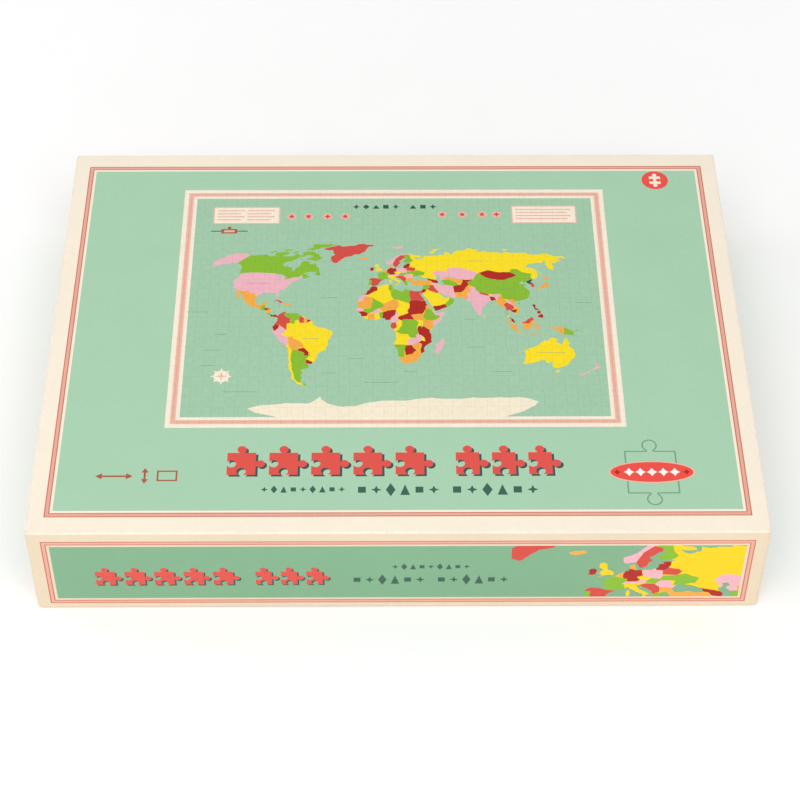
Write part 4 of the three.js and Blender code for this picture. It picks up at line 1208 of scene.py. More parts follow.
def add_badge(panel):
    """A long red medallion on the outline of a jigsaw piece."""
    x, y = BADGE
    for ink, grow in (("grid_green", 0), ("mint", -BADGE_LINE)):
        panel.add(ink, jigsaw_outline(x, y, *BADGE_PIECE, (1, 0, 1, 0), 4.0, grow, 20))
    panel.add("salmon", ellipse_outline(x, y, 21.9, 7.3, 64))
    panel.add("badge_red", ellipse_outline(x, y, 21.0, 6.6, 64))
    for side in (-1, 1):
        panel.add("dark_red", star_outline(x + side * 17.6, y, 2.0, 0.9, 4))
    for number in range(BADGE_STARS):
        star_x = x - 11.6 + BADGE_STAR_PITCH * number
        panel.add("white", star_outline(star_x, y, 2.7, 1.5, 4))


def framed_panel(outline, frame_box, other_inks=None):
    """A cream sheet with a frame round its mint middle."""
    panel = Print(other_inks)
    panel.add("cream", outline)
    panel.bands(*frame_box, FRAME_BANDS)
    return panel


def add_heading(panel, title_box, ornaments):
    """The title and the rows of ornaments that go with it."""
    add_title(panel, *title_box)
    for row in ornaments:
        add_ornaments(panel, "dark_green", *row)


def top_print(outline):
    """The top panel: the picture over the title, the size, the medallion and the roundel."""
    panel = framed_panel(outline, TOP_FRAME)
    add_inset(panel)
    add_heading(panel, TOP_TITLE, TOP_ORNAMENTS)
    for start, end, head in SIZE_ARROWS:
        add_arrow(panel, "rust", start, end, ARROW_WIDTH, head)
    panel.bands(*SIZE_BOX, (("rust", 0.9), ("mint", 0)))
    add_badge(panel)
    panel.add("badge_red", ellipse_outline(*ROUNDEL, 7.6, 7.6, 48))
    panel.add("cream", jigsaw_outline(*ROUNDEL, 6.4, 6.4, (1, -1, 1, -1), 1.3))
    return panel


def long_side_print(outline):
    """Front and back: the title row on the left and a larger piece of the map on the right."""
    # Mint, cream and yellow print darker on this wall: painted shade
    panel = framed_panel(outline, LONG_FRAME, WALL_SHADE_INKS)
    add_map(panel, SIDE_MAP_SCALE, SIDE_MAP_SHIFT, SIDE_MAP_WINDOW, "mint")
    add_heading(panel, LONG_TITLE, LONG_ORNAMENTS)
    return panel


def short_side_print(outline):
    """Left and right: the title row over a band of ornaments."""
    # Mint, cream and yellow print darker on this wall: painted shade
    panel = framed_panel(outline, SHORT_FRAME, WALL_SHADE_INKS)
    add_heading(panel, SHORT_TITLE, SHORT_ORNAMENTS)
    return panel


# ---- The lid's wrap: one sheet of paper, folded over the lid and up inside its walls ----
PAPER = 0.2
TOP_EDGE_RADIUS = 1.0
RIM_RADIUS = 0.5
WALL_THICKNESS = 2.35
TURN_IN_OUTSIDE = WALL_THICKNESS - PAPER
TURN_IN = 18
CORNER_RADIUS = 1.7
SHARP_RADIUS = 0.15
CORNER_STEPS = 6
EDGE_STEPS = 5
SAME_PLACE = 0.004  # points nearer than this to each other are one


def rectangle_ring(inset):
    """The box's plan moved inwards, counterclockwise from its right side, with round corners."""
    radius = max(CORNER_RADIUS - inset, SHARP_RADIUS)
    ring = []
    corners = ((1, 1), (-1, 1), (-1, -1), (1, -1))
    for corner, (sign_x, sign_y) in enumerate(corners):
        for step in range(CORNER_STEPS + 1):
            angle = (corner + step / CORNER_STEPS) * math.pi / 2
            ring.append((
                sign_x * (HALF_LENGTH - inset - radius) + radius * math.cos(angle),
                sign_y * (HALF_WIDTH - inset - radius) + radius * math.sin(angle),
            ))
    return ring


def profile_arc(centre_inset, centre_height, radius, start, end):
    """[inset, height] points of a rounded fold, where 0 degrees points outwards and 90 up."""
    points = []
    for step in range(EDGE_STEPS + 1):
        angle = math.radians(start + (end - start) * step / EDGE_STEPS)
        inset = centre_inset - radius * math.cos(angle)
        points.append((inset, centre_height + radius * math.sin(angle)))
    return points


def wrap_profile():
    """[inset, height] points, from the top panel's edge outside to its edge underneath."""
    shoulder = BOX_HEIGHT - TOP_EDGE_RADIUS
    rim = LID_RIM + RIM_RADIUS
    return [
        *profile_arc(TOP_EDGE_RADIUS, shoulder, TOP_EDGE_RADIUS, 90, 0),
        *profile_arc(RIM_RADIUS, rim, RIM_RADIUS, 0, -90),
        *profile_arc(WALL_THICKNESS - RIM_RADIUS, rim, RIM_RADIUS, -90, -180),
        (WALL_THICKNESS, LID_RIM + TURN_IN),
        (TURN_IN_OUTSIDE, LID_RIM + TURN_IN),
        (TURN_IN_OUTSIDE, LID_RIM + PAPER),
        (PAPER, LID_RIM + PAPER),
        *profile_arc(TOP_EDGE_RADIUS, shoulder, TOP_EDGE_RADIUS - PAPER, 0, 90),
    ]


class Shape:
    """Collects points and faces, with an ink for each face."""

    def __init__(self):
        self.points = []
        self.faces = []
        self.inks = []

    def face(self, corners, ink):
        start = len(self.points)
        self.points.extend(corners)
        self.faces.append(tuple(range(start, start + len(corners))))
        self.inks.append(ink)

    def panel(self, panel, place):
        """Adds a printed panel, where place turns a point on it into one on the box."""
        flat, triangles = panel.cut()
        start = len(self.points)
        self.points.extend(place(*point) for point in flat)
        for triangle, ink in triangles:
            self.faces.append(tuple(start + index for index in triangle))
            self.inks.append(ink)


def mesh_object(name, points, faces, materials, indices=None, smooth=True):
    """A mesh from points in millimetres. indices says which material each face has."""
    mesh = bpy.data.meshes.new(name)
    mesh.from_pydata([mm(*point) for point in points], [], faces)
    for material in materials:
        mesh.materials.append(material)
    if indices:
        mesh.polygons.foreach_set("material_index", indices)
    mesh.polygons.foreach_set("use_smooth", [smooth] * len(faces))
    mesh.update()
    made = bpy.data.objects.new(name, mesh)
    bpy.context.scene.collection.objects.link(made)
    return made


def make_lid_wrap():
    """The paper as one skin: bands round the folds, and a printed panel on each flat side."""
    profile = wrap_profile()
    rings = [rectangle_ring(inset) for inset, _ in profile]
    count = len(rings[0])
    shape = Shape()
    wall_band = EDGE_STEPS
    first_back_band = 3 * (EDGE_STEPS + 1)  # past the profile's first three arcs

    def corner(band, index):
        x, y = rings[band][index % count]
        return (x, y, profile[band][1])

    for band in range(len(profile) - 1):
        # The outer wall and the folds at the rim take the darker cream: painted shade
        ink = "cream" if band < wall_band else "side_cream"
        if band >= first_back_band:
            ink = "paper_back"
        for index in range(count):
            is_straight = index % (CORNER_STEPS + 1) == CORNER_STEPS
            if band == wall_band and is_straight:
                continue
            shape.face([
                corner(band + 1, index), corner(band + 1, index + 1),
                corner(band, index + 1), corner(band, index),
            ], ink)

    shape.panel(top_print(rings[0]), lambda x, y: (x, y, BOX_HEIGHT))
    under = [(x, y, profile[-1][1]) for x, y in rings[-1]]
    shape.face(under[::-1], "paper_back")

    low = profile[wall_band + 1][1]
    high = profile[wall_band][1]
    reach_x = HALF_LENGTH - CORNER_RADIUS
    reach_y = HALF_WIDTH - CORNER_RADIUS
    front = box_outline(-reach_x, low, reach_x, high)
    side = box_outline(-reach_y, low, reach_y, high)
    shape.panel(long_side_print(front), lambda u, z: (u, -HALF_WIDTH, z))
    shape.panel(long_side_print(front), lambda u, z: (-u, HALF_WIDTH, z))
    shape.panel(short_side_print(side), lambda u, z: (HALF_LENGTH, u, z))
    shape.panel(short_side_print(side), lambda u, z: (-HALF_LENGTH, -u, z))

    names = sorted(set(shape.inks))
    materials = [INK_MATERIALS[name] for name in names]
    wrap = mesh_object(
        "lid_printed_wrap", shape.points, shape.faces, materials,
        [names.index(ink) for ink in shape.inks],
    )
    # Bands and panels share their edges, and only the borders between inks are split.
    shared = bmesh.new()
    shared.from_mesh(wrap.data)
    bmesh.ops.remove_doubles(shared, verts=shared.verts, dist=SAME_PLACE * MM)
    borders = [
        edge for edge in shared.edges
        if len(edge.link_faces) == 2
        and edge.link_faces[0].material_index != edge.link_faces[1].material_index
    ]
    bmesh.ops.split_edges(shared, edges=borders)
    unused = [vert for vert in shared.verts if not vert.link_faces]
    bmesh.ops.delete(shared, geom=unused, context="VERTS")
    shared.to_mesh(wrap.data)
    shared.free()
    smooth = wrap.modifiers.new("even_shading", "WEIGHTED_NORMAL")
    smooth.weight = 100
    smooth.keep_sharp = False
    return wrap


add_camera()
add_studio()

INK_MATERIALS = {name: printed_paper(name, colour) for name, colour in INKS.items()}

lid_wrap = make_lid_wrap()
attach(lid_wrap, "lid")
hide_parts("lid_wrap")


# ---- Greyboard, tape and plain paper, on the pieces that the frame brings ----
SOFT_EDGE = 0.12
SOFT_EDGE_ANGLE = 40
WELD_GAP = 0.001


def greyboard():
    """Pressed waste paper: grey-brown, with pale and dark fibres lying flat in it."""
    shader = Shader("greyboard")
    cloud = shader.noise(26, detail=4.0)
    fibre = shader.noise(420, detail=4.0, roughness=0.7, stretch=(1.0, 0.3, 1.0))
    fleck = shader.noise(700, detail=2.0, stretch=(0.4, 1.0, 1.0))
    shown = shader.mix(shader.spread(cloud, 0.3, 0.7), linear(158, 149, 135), linear(176, 168, 154))
    shown = shader.tint(shown, fibre, 0.45, 0.75, 0.5, (205, 198, 184))
    shown = shader.tint(shown, fleck, 0.66, 0.72, 0.7, (104, 96, 86))
    rough = shader.spread(fibre, 0.3, 0.7, 0.82, 0.95)
    tooth = shader.bump(fibre, 0.35, 0.00012)
    return shader.set(base_color=shown, roughness=rough, normal=tooth, specular_ior_level=0.2)


def kraft_tape():
    """Gummed paper tape: brown, with long fibres and a faint shine."""
    shader = Shader("kraft_tape")
    fibre = shader.noise(500, detail=3.0, stretch=(1.0, 1.0, 0.15))
    cloud = shader.noise(60, detail=3.0)
    shown = shader.mix(shader.spread(fibre, 0.3, 0.7), linear(188, 152, 104), linear(210, 178, 132))
    shown = shader.tint(shown, cloud, 0.4, 0.8, 0.3, (168, 130, 86))
    rough = shader.spread(cloud, 0.3, 0.7, 0.55, 0.7)
    return shader.set(base_color=shown, roughness=rough, normal=shader.bump(fibre, 0.3, 0.0001))


def plain_paper(name, light, dark):
    """Uncoated wrap paper: a soft tooth, a few flecks and rubbed places."""
    shader = Shader(name)
    cloud = shader.noise(14, detail=5.0)
    fibre = shader.noise(800, detail=3.0, stretch=(1.0, 0.4, 1.0))
    rub = shader.noise(70, detail=6.0, roughness=0.7)
    shown = shader.mix(shader.spread(cloud, 0.3, 0.7), light, dark)
    shown = shader.tint(shown, fibre, 0.6, 0.8, 0.35, (196, 176, 146))
    shown = shader.tint(shown, rub, 0.62, 0.74, 0.3, (255, 252, 244))
    rough = shader.spread(rub, 0.3, 0.7, 0.62, 0.78)
    sag = shader.bump(shader.noise(16, detail=1.0), 0.3, 0.001)
    tooth = shader.bump(fibre, 0.25, 0.0001, normal=sag)
    return shader.set(base_color=shown, roughness=rough, normal=tooth, specular_ior_level=0.3)


def dress(names, material):
    """Gives pieces of the frame a material of this script."""
    for name in names:
        nodes[name].data.materials.clear()
        nodes[name].data.materials.append(material)


def dress_frame_nodes():
    """Materials for the boards, stays and tray papers, and soft edges where the board folds."""
    board = greyboard()
    tape = kraft_tape()
    tray_paper = plain_paper("tray_paper", linear(250, 240, 220), linear(242, 229, 204))
    dress(["lid_board", "tray_board"], board)
    dress([name for name in nodes if "_corner_stay_" in name], tape)
    dress(["tray_wrap", "tray_base_sheet"], tray_paper)
    for name in ("lid_board", "tray_board", "tray_wrap"):
        welded = nodes[name].modifiers.new("one_skin", "WELD")
        welded.merge_threshold = WELD_GAP * MM
        rounded = nodes[name].modifiers.new("soft_edges", "BEVEL")
        rounded.width = SOFT_EDGE * MM
        rounded.segments = 2
        rounded.limit_method = "ANGLE"
        rounded.angle_limit = math.radians(SOFT_EDGE_ANGLE)


dress_frame_nodes()


# ---- The bag's plan and the pile inside it. The pile's middle is over the frame's origin ----
pile_low, pile_high = (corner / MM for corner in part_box("piece_pile"))
film_low, film_high = (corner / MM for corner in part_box("bag_film"))
PLAN_POWER = 3  # 2 would make the plan an ellipse, and more makes it squarer
PILE_POWER = 4  # how flat the pile's top is
PILE_HALF_LENGTH = pile_high.x
PILE_HALF_WIDTH = pile_high.y
PILE_FLOOR = pile_low.z
PILE_HEIGHT = pile_high.z - pile_low.z
FILM_SEAM = 13
FILM_OVERHANG = 1.06  # the film's plan, in shares of the pile's
FILM_FLOOR = film_low.z
FILM_TOP = film_high.z
LIFT_START = 0.86  # where the film's underside begins to rise to its seam

PIECE_LENGTH = 17.4
PIECE_WIDTH = 20.4
PIECE_THICKNESS = 1.9
PIECE_KNOB = 2.5
PIECE_GAP = 0.1
PIECE_EDGE = 0.28
PIECE_EDGE_SLOPE = 0.7  # how far the edge comes in for each millimetre up
PIECE_REACH = 13.5  # from a piece's middle to just past its furthest knob
PIECE_COUNT = 1000
STRAIGHT_SHARE = 0.13  # how many of the pieces have a straight side

# The pieces on top of the pile, as the frame lays them
PIECE_ROWS = (5, 7, 8, 8, 7, 5)
PIECE_SPACING = 29.6
PIECE_LIFT = 1.3
TOP_STRAIGHT_SHARE = 0.15
TOP_FACE_UP_SHARE = 0.8

# The pieces in the pile, in staggered rows and loose layers
PILE_PITCH = 23.4
PILE_ROW_PITCH = 0.9  # in shares of the pitch
PILE_REACH = 0.93
PILE_JITTER = 5
PILE_TILT = 0.05
PILE_TRIES = 6  # how often a piece that doesn't fit is moved inwards, by the next number
PILE_SHRINK = 0.97
LAYER_HEIGHT = 2.42
LAYER_START = 0.1
LOWEST_LAYERS = 0.25  # what lies below this share of the pile's height is placed last
FACE_UP_SHARE = 0.6
PILE_SHARES = 5
FILM_GAP = 0.5
FILM_EDGE = 0.98
CLEARANCE_STEPS = 12


def plan_reach(x, y):
    """0 in the middle of the pile and 1 at the edge of its plan."""
    total = abs(x / PILE_HALF_LENGTH) ** PLAN_POWER + abs(y / PILE_HALF_WIDTH) ** PLAN_POWER
    return total ** (1 / PLAN_POWER)


def pile_top(x, y):
    """The height of the pile's domed top."""
    return PILE_FLOOR + PILE_HEIGHT * (1 - plan_reach(x, y) ** PILE_POWER)


def pile_normal(x, y):
    """The direction that the pile's top faces."""
    step = 0.5
    slope_x = (pile_top(x + step, y) - pile_top(x - step, y)) / (2 * step)
    slope_y = (pile_top(x, y + step) - pile_top(x, y - step)) / (2 * step)
    return Vector((-slope_x, -slope_y, 1)).normalized()


def film_floor(share):
    """The film's lower side, where share is 0 in the middle and 1 at its seam."""
    lift = np.maximum(0, (share - LIFT_START) / (1 - LIFT_START)) ** 2
    return FILM_FLOOR + (FILM_SEAM - FILM_FLOOR) * lift


def film_top(share):
    """The film's upper side, where share is 0 in the middle and 1 at its seam."""
    return FILM_SEAM + (FILM_TOP - FILM_SEAM) * (1 - share ** PILE_POWER)


def scatter(index, kind):
    """A number between 0 and 1 that looks random, and is the same as in the frame."""
    wave = math.sin(index * 12.9898 + kind * 78.233) * 43758.5453
    return wave - math.floor(wave)


def piece_print():
    """The printed face: mostly sea, with coasts and countries of the map running across it."""
    shader = Shader("piece_print")
    place = shader.node("ShaderNodeAttribute", attribute_name="picture").outputs["Vector"]
    coast = shader.noise(34, detail=5.0, vector=place)
    border = shader.node("ShaderNodeTexVoronoi")
    shader.feed(border.inputs["Vector"], place)
    border.inputs["Scale"].default_value = 42
    pick = shader.axes(border.outputs["Color"])[0]
    ramp = shader.node("ShaderNodeValToRGB")
    shader.feed(ramp.inputs[0], pick)
    colours = ("yellow", "green", "pink", "orange", "dark_red", "red", "yellow")
    ramp.color_ramp.interpolation = "CONSTANT"
    for number, ink in enumerate(colours):
        start = number / len(colours)
        stop = ramp.color_ramp.elements[0] if number == 0 else ramp.color_ramp.elements.new(start)
        stop.position = start
        stop.color = linear(*INKS[ink])
    ramp.color_ramp.elements.remove(ramp.color_ramp.elements[-1])
    on_land = shader.calc("GREATER_THAN", coast, 0.54)
    shown = shader.mix(on_land, linear(*INKS["sea"]), ramp.outputs[0])
    grain = shader.noise(900, detail=2.0)
    shown = shader.tint(shown, grain, 0.35, 0.7, 0.14, (120, 116, 104))
    rough = shader.spread(shader.noise(150, detail=3.0), 0.3, 0.7, 0.34, 0.5)
    linen = shader.bump(grain, 0.25, 0.00006)
    return shader.set(base_color=shown, roughness=rough, normal=linen, specular_ior_level=0.35)


def piece_board():
    """The die-cut edge and the back of a piece: fine grey board with pale fibres."""
    shader = Shader("piece_board")
    fibre = shader.noise(600, detail=4.0, roughness=0.7, stretch=(1.0, 1.0, 3.0))
    cloud = shader.noise(80, detail=3.0)
    shown = shader.mix(shader.spread(cloud, 0.3, 0.7), linear(176, 170, 160), linear(196, 190, 180))
    shown = shader.tint(shown, fibre, 0.5, 0.8, 0.5, (222, 217, 206))
    rough = shader.spread(fibre, 0.3, 0.7, 0.8, 0.95)
    return shader.set(base_color=shown, roughness=rough, normal=shader.bump(fibre, 0.4, 0.0001))


class Pieces:
    """Collects jigsaw pieces into one mesh. Material 0 is the print and material 1 the board.
    pictures holds each point's place in the picture, and each piece shows another part of it."""

    def __init__(self):
        self.points = []
        self.faces = []
        self.slots = []
        self.pictures = []

    def add(self, bulges, place, turn, steps, face_up):
        """A piece with its underside's middle at place, and each knob drawn in so many steps."""
        body = (0, 0, PIECE_LENGTH - 2 * PIECE_GAP, PIECE_WIDTH - 2 * PIECE_GAP, bulges, PIECE_KNOB)
        outline = jigsaw_outline(*body, 0.0, steps)
        inner = jigsaw_outline(*body, -PIECE_EDGE * PIECE_EDGE_SLOPE, steps)
        rings = ((outline, 0.0), (outline, PIECE_THICKNESS - PIECE_EDGE), (inner, PIECE_THICKNESS))
        count = len(outline)
        start = len(self.points)
        shift = Vector((len(self.pictures) * 0.37, len(self.pictures) * 0.61, 0.0))
        upside = 1 if face_up else -1
        middle = PIECE_THICKNESS / 2
        for ring, height in rings:
            for x, y in ring:
                local = Vector((x, y * upside, (height - middle) * upside + middle))
                self.points.append(tuple(turn @ local + place))
                self.pictures.append(shift + mm(x, y, 0))
        self.faces.append([start + index for index in reversed(range(count))])
        self.slots.append(1)
        for ring in range(2):
            here = start + ring * count
            above = here + count
            for index in range(count):
                following = (index + 1) % count
                self.faces.append((here + index, here + following, above + following, above + index))
                self.slots.append(0 if ring else 1)
        self.faces.append([start + 2 * count + index for index in range(count)])
        self.slots.append(0)

    def make(self, name, materials):
        """One object of all the pieces, which rides on the bag."""
        made = mesh_object(name, self.points, self.faces, materials, self.slots, smooth=False)
        picture = made.data.attributes.new("picture", "FLOAT_VECTOR", "POINT")
        picture.data.foreach_set("vector", [value for point in self.pictures for value in point])
        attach(made, "bag")
        return made


def make_loose_pieces(materials):
    """The pieces that lie on the pile, each where the frame has it."""
    number = 0
    for row, count in enumerate(PIECE_ROWS):
        y = (row - (len(PIECE_ROWS) - 1) / 2) * PIECE_SPACING
        for column in range(count):
            x = (column - (count - 1) / 2) * PIECE_SPACING
            number += 1
            bulges = [1 if scatter(number, side) < 0.5 else -1 for side in range(4)]
            if scatter(number, 4) < TOP_STRAIGHT_SHARE:
                bulges[0] = 0
            normal = pile_normal(x, y)
            lean = Vector((0, 0, 1)).rotation_difference(normal)
            turn = lean @ Quaternion((0, 0, 1), scatter(number, 5) * TAU)
            place = Vector((x, y, pile_top(x, y))) + normal * PIECE_LIFT
            pieces = Pieces()
            pieces.add(bulges, place, turn, 12, scatter(number, 6) < TOP_FACE_UP_SHARE)
            node = f"puzzle_piece_{number:02d}"
            made = pieces.make(f"jigsaw_piece_{number:02d}", materials)
            picture = made.data.attributes["picture"].data
            for point in picture:
                point.vector = Vector(point.vector) + Vector((number * 0.83, number * 0.29, 0))
            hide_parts(node)
    return number


def resting_height(x, y, height, normal):
    """The height nearest to the wanted one where a piece clears the film, or None."""
    lowest = -math.inf
    highest = math.inf
    for step in range(CLEARANCE_STEPS):
        turn = step / CLEARANCE_STEPS * TAU
        out = Vector((math.cos(turn), math.sin(turn), 0)) * PIECE_REACH
        share = plan_reach(x + out.x, y + out.y) / FILM_OVERHANG
        if share > FILM_EDGE:
            return None
        rise = -normal.dot(out) / normal.z
        lowest = max(lowest, film_floor(share) + FILM_GAP - rise)
        highest = min(highest, film_top(share) - FILM_GAP - PIECE_THICKNESS - rise)
    if lowest > highest:
        return None
    return min(max(height, lowest), highest)


def make_pile(count, materials):
    """The other pieces, lying in loose layers that fill the pile's shape."""
    dice = random.Random(11)
    places = []
    columns = range(-7, 8)
    for column in columns:
        for row in columns:
            x = (column + 0.5 * (row % 2)) * PILE_PITCH
            y = row * PILE_PITCH * PILE_ROW_PITCH
            if plan_reach(x, y) > PILE_REACH:
                continue
            layers = int((pile_top(x, y) - PILE_FLOOR) / LAYER_HEIGHT)
            for layer in range(layers):
                share = (layer + LAYER_START) / layers
                off_x = dice.uniform(-PILE_JITTER, PILE_JITTER)
                off_y = dice.uniform(-PILE_JITTER, PILE_JITTER)
                places.append((x + off_x, y + off_y, share))
    dice.shuffle(places)
    places.sort(key=lambda place: place[2] < LOWEST_LAYERS)
    shares = [Pieces() for _ in range(PILE_SHARES)]
    placed = 0
    for x, y, share in places:
        tilt = Vector((dice.gauss(0, PILE_TILT), dice.gauss(0, PILE_TILT), 1))
        for _ in range(PILE_TRIES):
            normal = (tilt + pile_normal(x, y) * share).normalized()
            wanted = PILE_FLOOR + (pile_top(x, y) - PILE_FLOOR - PIECE_THICKNESS) * share
            height = resting_height(x, y, wanted, normal)
            if height is not None:
                break
            x, y = x * PILE_SHRINK, y * PILE_SHRINK
        if height is None or placed == count:
            continue
        lean = Vector((0, 0, 1)).rotation_difference(normal)
        turn = lean @ Quaternion((0, 0, 1), dice.uniform(0, TAU))
        bulges = [dice.choice((-1, 1)) for _ in range(4)]
        if dice.random() < STRAIGHT_SHARE:
            bulges[0] = 0
        face_up = dice.random() < FACE_UP_SHARE
        shares[placed % PILE_SHARES].add(bulges, Vector((x, y, height)), turn, 6, face_up)
        placed += 1
    made = [
        pieces.make(f"jigsaw_pieces_pile_{number + 1}", materials) for number, pieces in enumerate(shares)
    ]
    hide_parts("piece_pile")


piece_materials = [piece_print(), piece_board()]
loose_count = make_loose_pieces(piece_materials)
make_pile(PIECE_COUNT - loose_count, piece_materials)


# ---- The bag: clear film, creased between its crimped end seals ----
SEAL_END = film_high.x
SEAL_OVERLAP = 3
SEAL_START = PILE_HALF_LENGTH * FILM_OVERHANG - SEAL_OVERLAP
SEAL_HALF_WIDTH = 92
FILM_THICKNESS = 0.12
VENT_PLACE = (118, 58)
VENT_RADIUS = 2.5
FILM_STEPS = 320
FILM_RINGS = 66
LOWER_RINGS = (0.99, 0.97, 0.95, 0.93, 0.91, 0.89, 0.87, 0.85, 0.6, 0.3)

# Creases near the seals lead away from them, and the others lie every way.
SEAL_CREASES = 34
OTHER_CREASES = 46
SEAL_CREASE_FAN = 0.004  # how much each turns, in radians a millimetre from the middle
CREASE_BEND = 0.004  # how far a crease strays from straight, by the square of the way along it
CREASE_FADE = 9  # how fast creases end towards the seam
UNDERSIDE_CREASES = 0.35  # how deep they are underneath, in shares of their depth on top
UNDERSIDE_START = 0.8
UNDERSIDE_FADE = 12


def film_material():
    """Clear film: thin and glossy, with thin whitish lines of painted highlight that stand for glints on its
    creases.
    """
    shader = Shader("clear_film")
    crumple = shader.noise(34, detail=2.0)
    fine = shader.noise(150, detail=4.0, roughness=0.6)
    line = shader.calc("ABSOLUTE", shader.calc("SUBTRACT", crumple, 0.5))
    second = shader.calc("ABSOLUTE", shader.calc("SUBTRACT", shader.noise(70, detail=1.0), 0.5))
    nearest = shader.calc("MINIMUM", line, shader.calc("MULTIPLY", second, 1.6))
    # Thin whitish lines along the noise's middle, made more opaque: painted highlights, as glints on creases
    painted_glints = shader.spread(nearest, 0.0, 0.02, 0.34, 0.0)
    haze = shader.spread(fine, 0.35, 0.7, 0.045, 0.095)
    alpha = shader.calc("ADD", painted_glints, haze)
    rough = shader.spread(fine, 0.3, 0.7, 0.08, 0.22)
    shown = shader.mix(fine, linear(232, 240, 243), linear(250, 252, 252))
    crease = shader.bump(crumple, 0.7, 0.004, shader.bump(fine, 0.5, 0.0004))
    return shader.set(
        base_color=shown, roughness=rough, alpha=alpha, normal=crease, specular_ior_level=1.0, ior=1.8,
    )


def crease_field(dice):
    """Creases as (x, y, direction, length, width, height), fanning out from the end seals."""
    creases = []
    for side in (-1, 1):
        for _ in range(SEAL_CREASES):
            y = dice.uniform(-88, 88)
            x = side * dice.uniform(108, 150)
            direction = dice.gauss(0, 0.22) - side * y * SEAL_CREASE_FAN
            creases.append((
                x, y, direction,
                dice.uniform(14, 44), dice.uniform(1.2, 3.2), dice.uniform(0.6, 2.4),
            ))
    for _ in range(OTHER_CREASES):
        creases.append((
            dice.uniform(-115, 115), dice.uniform(-95, 95), dice.uniform(0, math.pi),
            dice.uniform(12, 46), dice.uniform(1.0, 3.4), dice.uniform(0.5, 1.9),
        ))
    return creases


def crease_height(creases, x, y):
    """How far the creases lift the film: each is a ridge that fades along and across."""
    total = np.zeros_like(x)
    for cx, cy, direction, length, width, height in creases:
        along = (x - cx) * math.cos(direction) + (y - cy) * math.sin(direction)
        across = -(x - cx) * math.sin(direction) + (y - cy) * math.cos(direction)
        bent = across + CREASE_BEND * along ** 2
        total += height * np.exp(-np.abs(bent) / width) * np.exp(-(along / length) ** 4)
    return total


def plan_ring(reach, steps):
    """The pile's plan at a share of its size, as arrays of x and y."""
    turns = np.arange(steps) / steps * TAU
    along = np.sign(np.cos(turns)) * np.abs(np.cos(turns)) ** (2 / PLAN_POWER)
    across = np.sign(np.sin(turns)) * np.abs(np.sin(turns)) ** (2 / PLAN_POWER)
    return PILE_HALF_LENGTH * reach * along, PILE_HALF_WIDTH * reach * across


def make_bag(material):
    """The film as a closed skin of two sides that meet at the seam, with a hole in the upper."""
    dice = random.Random(5)
    creases = crease_field(dice)
    points = []
    faces = []
    rings = []

    def add_ring(reach, height_of):
        x, y = plan_ring(reach, FILM_STEPS)
        rings.append(len(points))
        points.extend(zip(x, y, height_of(x, y, reach / FILM_OVERHANG)))

    def upper(x, y, share):
        return film_top(share) + crease_height(creases, x, y) * min(1, (1 - share) * CREASE_FADE)

    def lower(x, y, share):
        begun = min(1, max(0, share - UNDERSIDE_START) * UNDERSIDE_FADE)
        amount = UNDERSIDE_CREASES * begun * min(1, (1 - share) * CREASE_FADE)
        return film_floor(share) + crease_height(creases, y, x) * amount

    points.append((0, 0, FILM_TOP))
    for ring in range(FILM_RINGS):
        add_ring(FILM_OVERHANG * math.sin((ring + 1) / FILM_RINGS * math.pi / 2), upper)
    for share in LOWER_RINGS:
        add_ring(FILM_OVERHANG * share, lower)
    points.append((0, 0, FILM_FLOOR))
    for step in range(FILM_STEPS):
        following = (step + 1) % FILM_STEPS
        faces.append((0, rings[0] + step, rings[0] + following))
        for here, below in zip(rings, rings[1:]):
            faces.append((below + step, below + following, here + following, here + step))
        faces.append((len(points) - 1, rings[-1] + following, rings[-1] + step))
    film = mesh_object("film_bag_skin", points, faces, [material])
    shaped = bmesh.new()
    shaped.from_mesh(film.data)
    middle = mm(*VENT_PLACE, 0)

    def off_vent(place):
        return Vector((place.x - middle.x, place.y - middle.y))

    punched = [
        face for face in shaped.faces
        if face.calc_center_median().z > FILM_SEAM * MM
        and off_vent(face.calc_center_median()).length < VENT_RADIUS * MM
    ]
    bmesh.ops.delete(shaped, geom=punched, context="FACES")
    for vert in shaped.verts:
        if vert.is_boundary:
            away = off_vent(vert.co).normalized() * VENT_RADIUS * MM
            vert.co.x = middle.x + away.x
            vert.co.y = middle.y + away.y
    shaped.to_mesh(film.data)
    shaped.free()
    thick = film.modifiers.new("film_thickness", "SOLIDIFY")
    thick.thickness = FILM_THICKNESS * MM
    thick.offset = 1
    return film


CRIMP_PITCH = 1.3
CRIMP_HEIGHT = 0.28
TOOTH_PITCH = 2.4
TOOTH_LENGTH = 0.9
SEAL_COLUMNS = 44


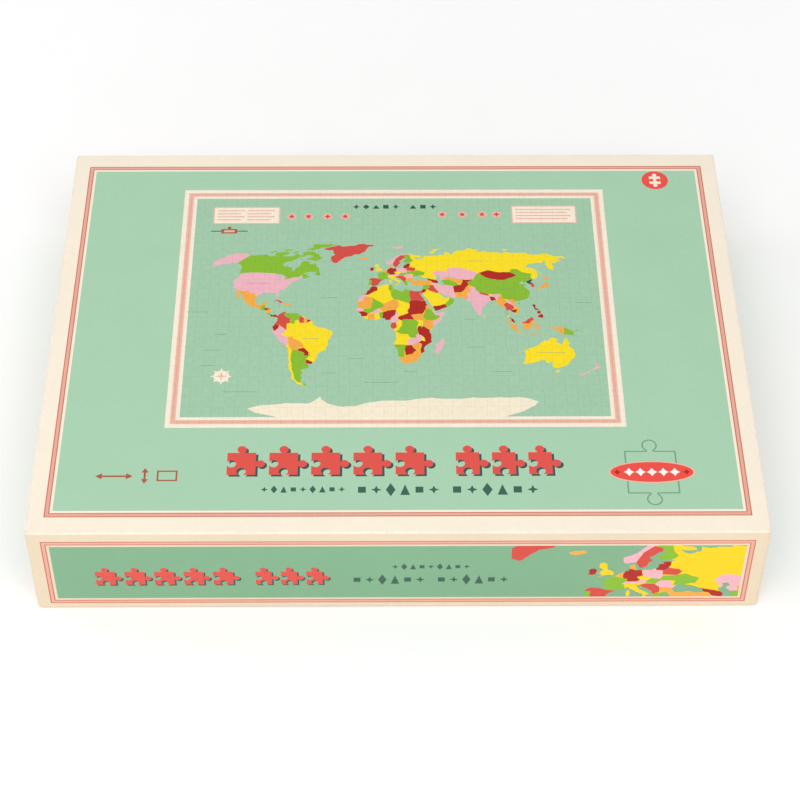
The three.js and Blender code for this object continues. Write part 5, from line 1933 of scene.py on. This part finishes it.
def make_end_seals(material):
    """Both welded strips, with crimp ridges along them and a saw-toothed cut edge."""
    points = []
    faces = []
    columns = SEAL_COLUMNS
    rows = int(2 * SEAL_HALF_WIDTH / (TOOTH_PITCH / 2))
    for side in (-1, 1):
        start = len(points)
        for row in range(rows + 1):
            y = -SEAL_HALF_WIDTH + 2 * SEAL_HALF_WIDTH * row / rows
            tooth = TOOTH_LENGTH * (row % 2)
            sway = 1.1 * math.sin(y / 19 + side) + 0.5 * math.sin(y / 7.3)
            for column in range(columns + 1):
                share = column / columns
                x = SEAL_START + (SEAL_END - tooth - SEAL_START) * share
                ridge = CRIMP_HEIGHT * math.sin(x / CRIMP_PITCH * TAU) * min(1, share * 3)
                points.append((side * x, y, FILM_SEAM + ridge + sway * share))
        for row in range(rows):
            for column in range(columns):
                here = start + row * (columns + 1) + column
                quad = (here, here + 1, here + columns + 2, here + columns + 1)
                faces.append(quad if side > 0 else quad[::-1])
    seals = mesh_object("film_bag_end_seals", points, faces, [material])
    thick = seals.modifiers.new("film_thickness", "SOLIDIFY")
    thick.thickness = 2 * FILM_THICKNESS * MM
    thick.offset = 0
    return seals


clear_film = film_material()
bag = make_bag(clear_film)
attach(bag, "bag")
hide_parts("bag_film")
end_seals = make_end_seals(clear_film)
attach(end_seals, "bag")


# ---- The floor: white, and glowing brighter far away, so that it runs into the white walls: painted light ----
FLOOR_REACH = 4000
FLOOR_GLOW = 0.05
FAR_GLOW = 0.42
FAR_START = 0.3  # metres from the middle, like the next one
FAR_END = 2.5


def make_floor():
    """A plain floor with the faintest mottling, and a glow of its own that is faint near the box and stronger
    far away: painted light.
    """
    shader = Shader("floor")
    grain = shader.noise(30, detail=2.0)
    tint = shader.mix(grain, (0.97, 0.97, 0.97, 1), (0.995, 0.995, 0.995, 1))
    length = shader.node("ShaderNodeVectorMath", operation="LENGTH")
    shader.feed(length.inputs[0], shader.place)
    # The floor's own glow: painted light, faint everywhere and stronger further from the middle
    far = shader.spread(length.outputs["Value"], FAR_START, FAR_END, 0.0, FAR_GLOW)
    glow = shader.calc("ADD", far, FLOOR_GLOW)
    white = (1, 1, 1, 1)
    material = shader.set(base_color=tint, roughness=0.9, emission_color=white, emission_strength=glow)
    outline = box_outline(-FLOOR_REACH, -FLOOR_REACH, FLOOR_REACH, FLOOR_REACH)
    corners = [(x, y, 0) for x, y in outline]
    floor = mesh_object("floor", corners, [(0, 1, 2, 3)], [material])


make_floor()
